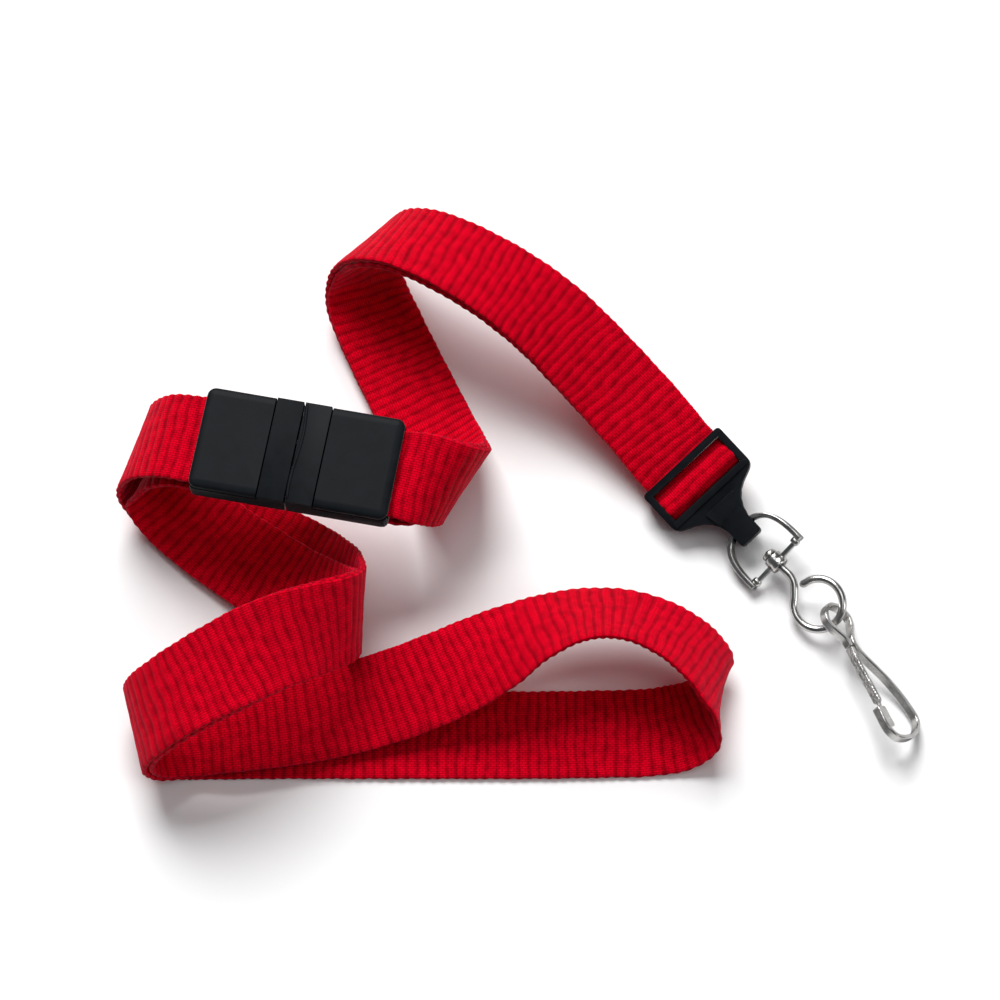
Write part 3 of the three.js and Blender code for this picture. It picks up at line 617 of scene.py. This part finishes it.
# ---- Buckle -----------------------------------------------------------------------------
# Matt black moulded nylon in two halves. Each half is a tray that holds the webbing's end,
# closed by a panel with a softly domed rim; the plug's three prongs push into the socket.
NOSE_LENGTH = 4.8
COVER_LOW = WEBBING_THICKNESS / 2 + 2 * GAP


def plastic_material():
    """Black nylon: a fine grain in the bump, cloudy colour and roughness, faintly blue."""
    made = bpy.data.materials.new("black_nylon")
    made.use_nodes = True
    tree = made.node_tree
    link = tree.links.new
    shader = tree.nodes["Principled BSDF"]
    place = tree.nodes.new("ShaderNodeTexCoord")
    grain = node(tree, "ShaderNodeTexNoise", Scale=5200.0, Detail=3.0)
    cloud = node(tree, "ShaderNodeTexNoise", Scale=320.0, Detail=4.0)
    link(place.outputs["Object"], grain.inputs["Vector"])
    link(place.outputs["Object"], cloud.inputs["Vector"])
    tint = tree.nodes.new("ShaderNodeValToRGB")
    tint.color_ramp.elements[0].position = 0.3
    tint.color_ramp.elements[0].color = (0.004, 0.0052, 0.0066, 1)
    tint.color_ramp.elements[1].position = 0.7
    tint.color_ramp.elements[1].color = (0.0075, 0.0092, 0.0115, 1)
    link(cloud.outputs["Fac"], tint.inputs["Fac"])
    link(tint.outputs["Color"], shader.inputs["Base Color"])
    rough = tree.nodes.new("ShaderNodeMapRange")
    rough.inputs["To Min"].default_value = 0.36
    rough.inputs["To Max"].default_value = 0.56
    link(cloud.outputs["Fac"], rough.inputs["Value"])
    link(rough.outputs["Result"], shader.inputs["Roughness"])
    bump = node(tree, "ShaderNodeBump", Strength=0.35, Distance=0.00004)
    link(grain.outputs["Fac"], bump.inputs["Height"])
    link(bump.outputs["Normal"], shader.inputs["Normal"])
    shader.inputs["Specular IOR Level"].default_value = 0.06
    return made


def arc(centre, radius, start, stop, steps):
    """Points on part of a circle: the centre plus the radius times each angle's direction."""
    turn = np.radians(np.linspace(start, stop, steps))
    return np.asarray(centre) + radius * np.stack([np.cos(turn), np.sin(turn)], axis=1)


def rounded_rectangle(low, high, left, right):
    """An outline between two corners, its corners quarter circles of the radii given for
    its left and its right side."""
    (x0, y0), (x1, y1) = low, high
    middles = [
        (x1 - right, y1 - right, right), (x0 + left, y1 - left, left),
        (x0 + left, y0 + left, left), (x1 - right, y0 + right, right),
    ]
    turns = (0, 90, 180, 270)
    return np.concatenate([arc((x, y), r, t, t + 90, 7) for (x, y, r), t in zip(middles, turns)])


def skin(rings):
    """The closed surface through a stack of closed rings: quads from ring to ring and a face
    over each end, turned round where they would enclose a negative volume."""
    rings = np.asarray(rings, float)
    count = rings.shape[1]
    points = rings.reshape(-1, 3)
    faces = tube_faces(len(rings), count)
    quads = points[np.array(faces[:-2])] - points.mean(axis=0)
    cap = points[np.array(faces[-2:])] - points.mean(axis=0)
    volume = np.sum(quads[:, 0] * np.cross(quads[:, 1], quads[:, 2]))
    volume += np.sum(quads[:, 0] * np.cross(quads[:, 2], quads[:, 3]))
    volume += np.sum(cap[:, :1] * np.cross(cap[:, 1:-1], cap[:, 2:]))
    return points, faces if volume > 0 else [face[::-1] for face in faces]


def rounded_steps(low, high, edge):
    """Insets and heights up a slab's side: a quarter round, the wall, a quarter round."""
    turn = np.radians(np.linspace(0, 90, 5))
    inset, rise = edge * (1 - np.sin(turn)), edge * (1 - np.cos(turn))
    foot = [(edge + 0.1, low)] + list(zip(inset, low + rise))
    head = list(zip(inset[::-1], high - rise[::-1])) + [(edge + 0.1, high)]
    return foot + head


def slab(outline, steps):
    """A slab: the outline at each step's inset, lifted to that step's height."""
    rings = [np.column_stack([outline(i), np.full(len(outline(i)), z)]) for i, z in steps]
    return skin(rings)


def assembled(name, matrix, parts, material):
    """One mesh object from closed surfaces given in a local frame in millimetres: their
    points in one list, each surface's faces numbered on from where its points start."""
    starts = np.cumsum([0] + [len(points) for points, _ in parts])
    points = moved(matrix, np.concatenate([points for points, _ in parts])) + SHIFT
    faces = [
        (np.asarray(face) + start).tolist()
        for start, (_, surface) in zip(starts, parts)
        for face in surface
    ]
    thing = mesh_object(name, points * MM, faces)
    thing.data.materials.append(material)
    return thing


def moulded_copy(source, name, edge):
    """A copy of a CAD node: points closer than two thousandths of a millimetre are joined,
    triangles that lie in one plane become one face, and the sharp edges are rounded."""
    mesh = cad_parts[source].data.copy()
    mesh.name = name
    work = bmesh.new()
    work.from_mesh(mesh)
    bmesh.ops.remove_doubles(work, verts=work.verts, dist=2e-6)
    flat = math.radians(1.5)
    bmesh.ops.dissolve_limit(work, angle_limit=flat, verts=work.verts, edges=work.edges)
    work.to_mesh(mesh)
    work.free()
    mesh.materials.clear()
    mesh.polygons.foreach_set("use_smooth", np.full(len(mesh.polygons), True))
    thing = bpy.data.objects.new(name, mesh)
    bpy.context.scene.collection.objects.link(thing)
    rounding = thing.modifiers.new("rounded_edges", "BEVEL")
    rounding.width = edge * MM
    rounding.segments = 3
    rounding.limit_method = "ANGLE"
    rounding.angle_limit = math.radians(32)
    rounding.harden_normals = True
    return thing


black_nylon = plastic_material()
cover_top = BUCKLE_HEIGHT / 2
cover_steps = [
    (0.35, COVER_LOW),
    (0.1, COVER_LOW),
    (0.0, COVER_LOW + 0.12),
    (0.0, cover_top - 0.55),
    (0.08, cover_top - 0.36),
    (0.25, cover_top - 0.23),
    (0.6, cover_top - 0.11),
    (1.0, cover_top - 0.05),
    (1.2, cover_top - 0.015),
    (1.4, cover_top),
    (1.6, cover_top),
]
for half, body, side, length in (
    ("plug", "lanyard", 1, PLUG_LENGTH),
    ("socket", "socket_half", -1, SOCKET_LENGTH),
):
    shell = moulded_copy(f"buckle_{half}_shell", f"{half}_tray", 0.14)
    shell.data.materials.append(black_nylon)
    ends = sorted((side * (NOSE_LENGTH + 0.16), side * length))

    def panel_outline(inset, ends=ends, side=side):
        """The panel's rounded rectangle, drawn in by the inset, but by no more than a tenth
        of a millimetre on the side of the groove."""
        beside_groove, elsewhere = min(inset, 0.1), inset
        left, right = (beside_groove, elsewhere)[:: side]
        low = (ends[0] + left, inset - BUCKLE_WIDTH / 2)
        high = (ends[1] - right, BUCKLE_WIDTH / 2 - inset)
        radii = (0.15, max(1.5 - inset, 0.15))[:: side]
        return rounded_rectangle(low, high, *radii)

    panel = assembled(
        f"{half}_panel", buckle_matrix, [slab(panel_outline, cover_steps)], black_nylon
    )
    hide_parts(f"buckle_{half}_shell")
    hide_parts(f"buckle_{half}_cover")
    for piece in (shell, panel):
        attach(piece, body)

# ---- Parting lip ------------------------------------------------------------------------
# A low rib moulded on the plug's nose beside the parting line. It winds in a shallow S
# across the buckle and stands a little proud of the nose.


def sweep(middle, across, profile, grow=None):
    """A profile carried along a path. A point's first number goes sideways, square to the
    path and to the direction across; its second goes across; grow scales each ring."""
    middle = np.asarray(middle, float)
    along = unit(np.gradient(middle, axis=0))
    across = unit(across - along * np.sum(across * along, axis=1, keepdims=True))
    sideways = np.cross(along, across)
    size = np.ones((len(middle), 2)) if grow is None else np.asarray(grow, float)
    shape = np.asarray(profile)[None, :, :] * size[:, None, :]
    return skin(
        middle[:, None, :]
        + sideways[:, None, :] * shape[..., :1]
        + across[:, None, :] * shape[..., 1:]
    )


LIP_SAMPLES, LIP_MARGIN = 48, 0.35
lip_reach = BUCKLE_WIDTH / 2 - LIP_MARGIN
lip_y = np.linspace(-lip_reach, lip_reach, LIP_SAMPLES)
lip_x = 0.55 + 0.3 * np.sin(lip_y * 2 * np.pi / BUCKLE_WIDTH * 1.05 + 0.4)
lip_line = np.stack([lip_x, lip_y, np.full(LIP_SAMPLES, BUCKLE_HEIGHT / 2 - 0.06)], axis=1)
lip_profile = arc((0, 0), 1.0, 0, 330, 12) * (0.3, 0.2)
lip_taper = np.minimum(1, np.minimum(lip_y - lip_y[0], lip_y[-1] - lip_y) / 0.5 + 0.05) ** 0.5
lip_across = np.tile([0, 0, 1.0], (LIP_SAMPLES, 1))
lip_grow = np.stack([lip_taper, lip_taper], axis=1)
lip_rib = sweep(lip_line, lip_across, lip_profile, lip_grow)
lip = assembled("parting_lip", buckle_matrix, [lip_rib], black_nylon)
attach(lip, "lanyard")

# ---- Slider -----------------------------------------------------------------------------
# The same black nylon, moulded in one: a frame with a rear bar over the webbing, a cross
# bar inside it, and a thick neck bored through for the bail. A bar along the front and a
# plate stand on top; the plate tapers into the thicker neck and ends inside it.
slider_body = moulded_copy("slider", "slider_moulding", 0.38)
slider_body.data.materials.append(black_nylon)
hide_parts("slider")
# The slider's own Z points down, so its top lies at minus half its thickness.
SLIDER_TOP = -SLIDER_THICKNESS / 2
FRONT_BAR_HALF, FRONT_BAR_SETBACK, FRONT_BAR_DEPTH = 8.7, 0.12, 1.4


def front_bar_outline(inset):
    """A long rounded rectangle over the frame's front bar, drawn in by the inset."""
    low = (-FRONT_BAR_HALF + inset, WINDOW_FRONT + FRONT_BAR_SETBACK + inset)
    high = (FRONT_BAR_HALF - inset, WINDOW_FRONT + FRONT_BAR_DEPTH - inset)
    return rounded_rectangle(low, high, 0.5 - inset, 0.5 - inset)


def neck_plate_outline(inset):
    """A tapering plate: a rounded rectangle whose width falls along the neck."""
    low, high = (-3.6 + inset, 5.6 + inset), (3.6 - inset, 13.6 - inset)
    outline = rounded_rectangle(low, high, 0.6 - inset, 0.6 - inset)
    taper = 1 - 0.5 * smoothstep(outline[:, 1], 5.0, 9.6)
    return outline * np.stack([taper, np.ones(len(taper))], axis=1)


raised_bar = slab(front_bar_outline, rounded_steps(SLIDER_TOP - 0.28, SLIDER_TOP + 0.3, 0.22))
neck_plate = slab(neck_plate_outline, rounded_steps(SLIDER_TOP - 0.3, SLIDER_TOP + 0.3, 0.2))
detail = assembled("slider_raised_details", slider_matrix, [raised_bar, neck_plate], black_nylon)
for piece in (slider_body, detail):
    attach(piece, "lanyard")

# ---- Bail -------------------------------------------------------------------------------
# A nickel-plated steel strip bent into a D through the slider's neck and closed by a thin
# straight bar, with a small clasp near each corner and a short barrel in the middle. The
# barrel is closed at both ends, and the eye's stem runs through it and through the bar.
BORE_AT = 11.5
BAIL_X, BAIL_Y = (42, 27), (-44, 3)
BAIL_WIDTH, BAIL_DEPTH, BAIL_STRIP, BAIL_HEIGHT = 12.8, 9.9, 0.9, 2.4
BARREL_RADIUS, BARREL_LENGTH, BARREL_BORE = 1.7, 2.4, 0.95


def nickel_material(name, knurled):
    """Bright nickel plate: cloudy roughness and a fine grain, both from noise. The knurled
    kind has small dented cells instead: the height is the distance from the cell's centre."""
    made = bpy.data.materials.new(name)
    made.use_nodes = True
    tree = made.node_tree
    link = tree.links.new
    shader = tree.nodes["Principled BSDF"]
    shader.inputs["Metallic"].default_value = 1.0
    shader.inputs["Specular Tint"].default_value = (0.2, 0.2, 0.21, 1)
    place = tree.nodes.new("ShaderNodeTexCoord")
    cloud = node(tree, "ShaderNodeTexNoise", Scale=420.0, Detail=4.0)
    fine = node(tree, "ShaderNodeTexNoise", Scale=2600.0, Detail=3.0)
    link(place.outputs["Object"], cloud.inputs["Vector"])
    link(place.outputs["Object"], fine.inputs["Vector"])
    tint = tree.nodes.new("ShaderNodeValToRGB")
    tint.color_ramp.elements[0].position = 0.3
    tint.color_ramp.elements[0].color = (0.42, 0.41, 0.40, 1)
    tint.color_ramp.elements[1].position = 0.65
    tint.color_ramp.elements[1].color = (0.70, 0.69, 0.67, 1)
    link(cloud.outputs["Fac"], tint.inputs["Fac"])
    link(tint.outputs["Color"], shader.inputs["Base Color"])
    rough = tree.nodes.new("ShaderNodeMapRange")
    rough.inputs["To Min"].default_value = 0.34 if knurled else 0.16
    rough.inputs["To Max"].default_value = 0.5 if knurled else 0.34
    link(cloud.outputs["Fac"], rough.inputs["Value"])
    link(rough.outputs["Result"], shader.inputs["Roughness"])
    bump = node(tree, "ShaderNodeBump", Strength=0.25, Distance=0.00005)
    link(fine.outputs["Fac"], bump.inputs["Height"])
    if knurled:
        cells = node(tree, "ShaderNodeTexVoronoi", Scale=2300.0)
        link(place.outputs["Object"], cells.inputs["Vector"])
        link(cells.outputs["Distance"], bump.inputs["Height"])
        bump.inputs["Strength"].default_value = 0.9
        bump.inputs["Distance"].default_value = 0.00016
    link(bump.outputs["Normal"], shader.inputs["Normal"])
    return made


def strip_profile(thickness, height, radius):
    """A strip's rectangular section with rounded corners and a point close to each."""
    low, high = (-thickness / 2, -height / 2), (thickness / 2, height / 2)
    outline = rounded_rectangle(low, high, radius, radius)
    corners = outline.reshape(4, 7, 2)
    ease = 0.06
    before = corners[:, :1] + ease * unit(np.roll(corners, 1, axis=0)[:, -1:] - corners[:, :1])
    after = corners[:, -1:] + ease * unit(np.roll(corners, -1, axis=0)[:, :1] - corners[:, -1:])
    return np.concatenate([before, corners, after], axis=1).reshape(-1, 2)


def flat_sweep(path, profile, samples, blunt=0.6, narrow=None):
    """A profile swept along a curve in the local XY plane, through the path's own points
    where samples is 0. Its two ends are closed by rings that shrink along a quarter circle
    to the blunt share; narrow gives each ring's own scales."""
    path = np.column_stack([np.asarray(path, float), np.zeros(len(path))])
    places = np.linspace(0, len(path) - 1, max(samples, 2))
    line = catmull_rom(path, places, True) if samples else path
    ahead, back = unit(line[-1] - line[-2]), unit(line[0] - line[1])
    turn = np.radians([25, 50, 70, 84])
    reach = (1 - blunt) * np.abs(profile).max(axis=0).min()
    head = line[-1] + np.outer(np.sin(turn), ahead) * reach
    foot = (line[0] + np.outer(np.sin(turn), back) * reach)[::-1]
    line = np.concatenate([foot, line, head])
    shrink = blunt + (1 - blunt) * np.cos(turn)
    grow = np.concatenate([shrink[::-1], np.ones(len(line) - 8), shrink])
    grow = np.stack([grow, grow], axis=1) * (1 if narrow is None else narrow(line))
    return sweep(line, np.tile([0, 0, 1.0], (len(line), 1)), profile, grow)


def turned(stations, axis, steps=28):
    """A solid turned about a local axis: a ring of each radius at each height along it."""
    angle = np.linspace(0, 2 * np.pi, steps, endpoint=False)
    rings = [
        np.stack([r * np.cos(angle), np.full(steps, y), r * np.sin(angle)], axis=1)
        for y, r in stations
    ]
    return skin(np.roll(rings, axis - 1, axis=2))


nickel = nickel_material("bright_nickel", False)
bail_matrix = placed(
    moved(slider_matrix, (0, BORE_AT, 0)), direction(*BAIL_X), direction(*BAIL_Y)
)
bail_back = -BAIL_STRIP / 2 - 0.2
bar_outer = bail_back + BAIL_DEPTH
bar_middle = bar_outer - BAIL_STRIP / 2
half_d = BAIL_WIDTH / 2 - BAIL_STRIP / 2
middle_back = bail_back + BAIL_STRIP / 2


def bezier(points, steps):
    """A cubic Bezier curve: its four points weighted by the cubic Bernstein polynomials."""
    t = np.linspace(0, 1, steps)[:, None]
    a, b, c, d = np.asarray(points, float)
    return (1 - t) ** 3 * a + 3 * t * (1 - t) ** 2 * b + 3 * t**2 * (1 - t) * c + t**3 * d


left_arm = bezier(
    [(-half_d, bar_outer - 1.8), (-half_d, middle_back + 1.6),
     (-half_d * 0.62, middle_back), (0, middle_back)],
    24,
)
d_path = np.concatenate([
    [(-half_d, bar_outer - 0.2), (-half_d, bar_outer - 1.0)],
    left_arm,
    (left_arm * (-1, 1))[-2::-1],
    [(half_d, bar_outer - 1.0), (half_d, bar_outer - 0.2)],
])
d_strip = flat_sweep(d_path, strip_profile(BAIL_STRIP, BAIL_HEIGHT, 0.22), 0)
bar_ends = [(-half_d - 0.35, bar_middle), (half_d + 0.35, bar_middle)]
bar_path = np.linspace(*bar_ends, 14)
bar_strip = flat_sweep(bar_path, strip_profile(BAIL_STRIP - 0.15, BAIL_HEIGHT - 1.4, 0.2), 0)
half_barrel = BARREL_LENGTH / 2
barrel_stations = [
    (-half_barrel, BARREL_BORE), (-half_barrel, BARREL_BORE + 0.1),
    (-half_barrel, BARREL_RADIUS - 0.25), (-half_barrel + 0.07, BARREL_RADIUS - 0.07),
    (-half_barrel + 0.25, BARREL_RADIUS), (-0.3, BARREL_RADIUS),
    (-0.1, BARREL_RADIUS - 0.08), (0.1, BARREL_RADIUS - 0.08), (0.3, BARREL_RADIUS),
    (half_barrel - 0.25, BARREL_RADIUS), (half_barrel - 0.07, BARREL_RADIUS - 0.07),
    (half_barrel, BARREL_RADIUS - 0.25), (half_barrel, BARREL_BORE + 0.1),
    (half_barrel, BARREL_BORE),
]
barrel = turned([(bar_middle + y, r) for y, r in barrel_stations], axis=1)
clasp_stations = [
    (0, 0.3), (0, 0.6), (0.12, 0.78), (0.35, 0.85), (0.9, 0.85), (1.1, 0.7), (1.1, 0.3),
]
clasps = [
    turned([(side * (half_d - 1.55 + x), r) for x, r in clasp_stations], axis=0)
    for side in (-1, 1)
]
clasps = [(points + (0, bar_middle - 0.1, 0), faces) for points, faces in clasps]
bail_piece = assembled("bail_strip", bail_matrix, [d_strip, bar_strip, barrel] + clasps, nickel)
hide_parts("bail")
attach(bail_piece, "bail")

# ---- Swivel eye -------------------------------------------------------------------------
# Round nickel-plated wire: a headed stem through the bail's barrel, bent into a ring whose
# rounded end stops just short of the stem.
WIRE_RADIUS, RING_RADIUS, RING_AT = 0.7, 4.45, 10.6
HEAD_RADIUS, HEAD_THICKNESS = 1.35, 0.8
RING_ACROSS = (41, 27)
head_inside = BARREL_LENGTH / 2 + GAP
ring_turn = np.radians(30 + np.arange(17) * 321 / 16)
eye_path = np.concatenate([
    [(-head_inside - HEAD_THICKNESS / 2, 0), (0, 0), (2, 0)],
    [(RING_AT - RING_RADIUS - 2.4, 0), (RING_AT - RING_RADIUS - 1.2, -0.5)],
    np.stack([RING_AT - RING_RADIUS * np.cos(ring_turn), -RING_RADIUS * np.sin(ring_turn)], 1),
])
wire = flat_sweep(eye_path, arc((0, 0), WIRE_RADIUS, 0, 345, 24), 220, blunt=0.0)
head_low, head_high = -head_inside - HEAD_THICKNESS, -head_inside
head_stations = [
    (head_low, 0.3), (head_low, HEAD_RADIUS * 0.6), (head_low + 0.06, HEAD_RADIUS * 0.8),
    (head_low + 0.22, HEAD_RADIUS * 0.95), (head_low + 0.4, HEAD_RADIUS),
    (head_high - 0.12, HEAD_RADIUS), (head_high - 0.03, HEAD_RADIUS - 0.04),
    (head_high, HEAD_RADIUS - 0.14), (head_high, 0.3),
]
eye_matrix = placed(
    moved(bail_matrix, (0, bar_middle, 0)), bail_matrix[:3, 1], direction(*RING_ACROSS)
)
eye_piece = assembled("eye_wire", eye_matrix, [wire, turned(head_stations, axis=0)], nickel)
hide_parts("swivel_eye")
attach(eye_piece, "swivel_eye")

# ---- Hook -------------------------------------------------------------------------------
# A nickel-plated spring strip: a small loop through the eye, a neck, and a long body whose
# bent tip has two cheeks that keep the gate's end from slipping sideways.
HOOK_STRIP, HOOK_HEIGHT = 0.8, 1.6
HOOK_AT, HOOK_X, HOOK_Y = (58.1, -29.4, 4.9), (-65, 1), (26, -40)
LOOP_LENGTH, LOOP_WIDTH = 8.6, 6.6
BODY_LENGTH, BODY_WIDTH, TIP_LENGTH = 19.2, 9.2, 6.3
GATE_SIDE = -2.1
CHEEK = 0.35
half_strip = HOOK_STRIP / 2
neck_side = half_strip + (GAP + 0.1) / 2
loop_half = LOOP_WIDTH / 2 - half_strip
loop_top = -LOOP_LENGTH + half_strip
bottom = BODY_LENGTH - half_strip
back_side = GATE_SIDE + BODY_WIDTH - HOOK_STRIP
hook_path = [
    (0, -neck_side),
    (-1.2, -neck_side - 0.2),
    (loop_top + 4.4, -loop_half * 0.86),
    (loop_top + 2.6, -loop_half),
    (loop_top + 0.7, -loop_half * 0.62),
    (loop_top, 0),
    (loop_top + 0.7, loop_half * 0.62),
    (loop_top + 2.6, loop_half),
    (loop_top + 4.4, loop_half * 0.86),
    (-1.2, neck_side + 0.2),
    (0, neck_side),
    (1.6, neck_side + 0.5),
    (8, back_side * 0.72),
    (bottom - 5, back_side * 0.98),
    (bottom - 2.6, back_side * 0.96),
    (bottom - 0.8, back_side * 0.7),
    (bottom, back_side * 0.32),
    (bottom - 0.4, GATE_SIDE * 0.4),
    (bottom - 2, GATE_SIDE),
    (bottom - TIP_LENGTH, GATE_SIDE),
]
hook_strip = flat_sweep(hook_path, strip_profile(HOOK_STRIP, HOOK_HEIGHT, 0.2), 300)
cheek_low = (bottom - TIP_LENGTH - 0.05, GATE_SIDE - half_strip + 0.02)
cheek_high = (bottom - 2.3, GATE_SIDE + half_strip + HOOK_STRIP + GAP)


def cheek_outline(inset):
    """A rounded rectangle beside the tip and the gate's end, drawn in by the inset."""
    low, high = np.asarray(cheek_low) + inset, np.asarray(cheek_high) - inset
    return rounded_rectangle(low, high, 0.45 - inset, 0.45 - inset)


cheek_out, cheek_in = HOOK_HEIGHT / 2 + 0.02, HOOK_HEIGHT / 2 - CHEEK
cheeks = [
    slab(cheek_outline, rounded_steps(low, high, 0.12))
    for low, high in ((cheek_in, cheek_out), (-cheek_out, -cheek_in))
]
hook_matrix = placed(HOOK_AT, direction(*HOOK_X), direction(*HOOK_Y))
hook_piece = assembled("hook_strip", hook_matrix, [hook_strip] + cheeks, nickel)
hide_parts("hook")
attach(hook_piece, "hook")

# ---- Gate -------------------------------------------------------------------------------
# The strip's other end, which springs inward to open the hook. It is knurled all over, its
# tip is narrowed to lie between the cheeks, and its root leaves room to turn at the neck.
GATE_ROOM = 0.25
gate_root = GAP + GATE_ROOM
gate_end = bottom - 3.4
gate_line = GATE_SIDE + half_strip + GAP + half_strip
gate_points = [
    (gate_root, -neck_side),
    (2.4, -neck_side - 0.25),
    (gate_end * 0.6, (gate_line - neck_side) * 0.5),
    (gate_end, gate_line),
]
NARROW_FROM, NARROW_WIDTH = bottom - TIP_LENGTH - GAP - 0.4, 0.4


def narrowed(line):
    """Scales for each ring: full width as far as the tip, then its narrow share of it."""
    share = NARROW_WIDTH / HOOK_HEIGHT
    slim = 1 - (1 - share) * smoothstep(line[:, 0], NARROW_FROM - 0.7, NARROW_FROM)
    return np.stack([np.ones(len(line)), slim], axis=1)


knurled_nickel = nickel_material("knurled_nickel", True)
gate_strip = flat_sweep(
    gate_points, strip_profile(HOOK_STRIP, HOOK_HEIGHT, 0.2), 90, narrow=narrowed
)
gate_piece = assembled("gate_strip", hook_matrix, [gate_strip], knurled_nickel)
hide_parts("hook_gate")
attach(gate_piece, "gate")
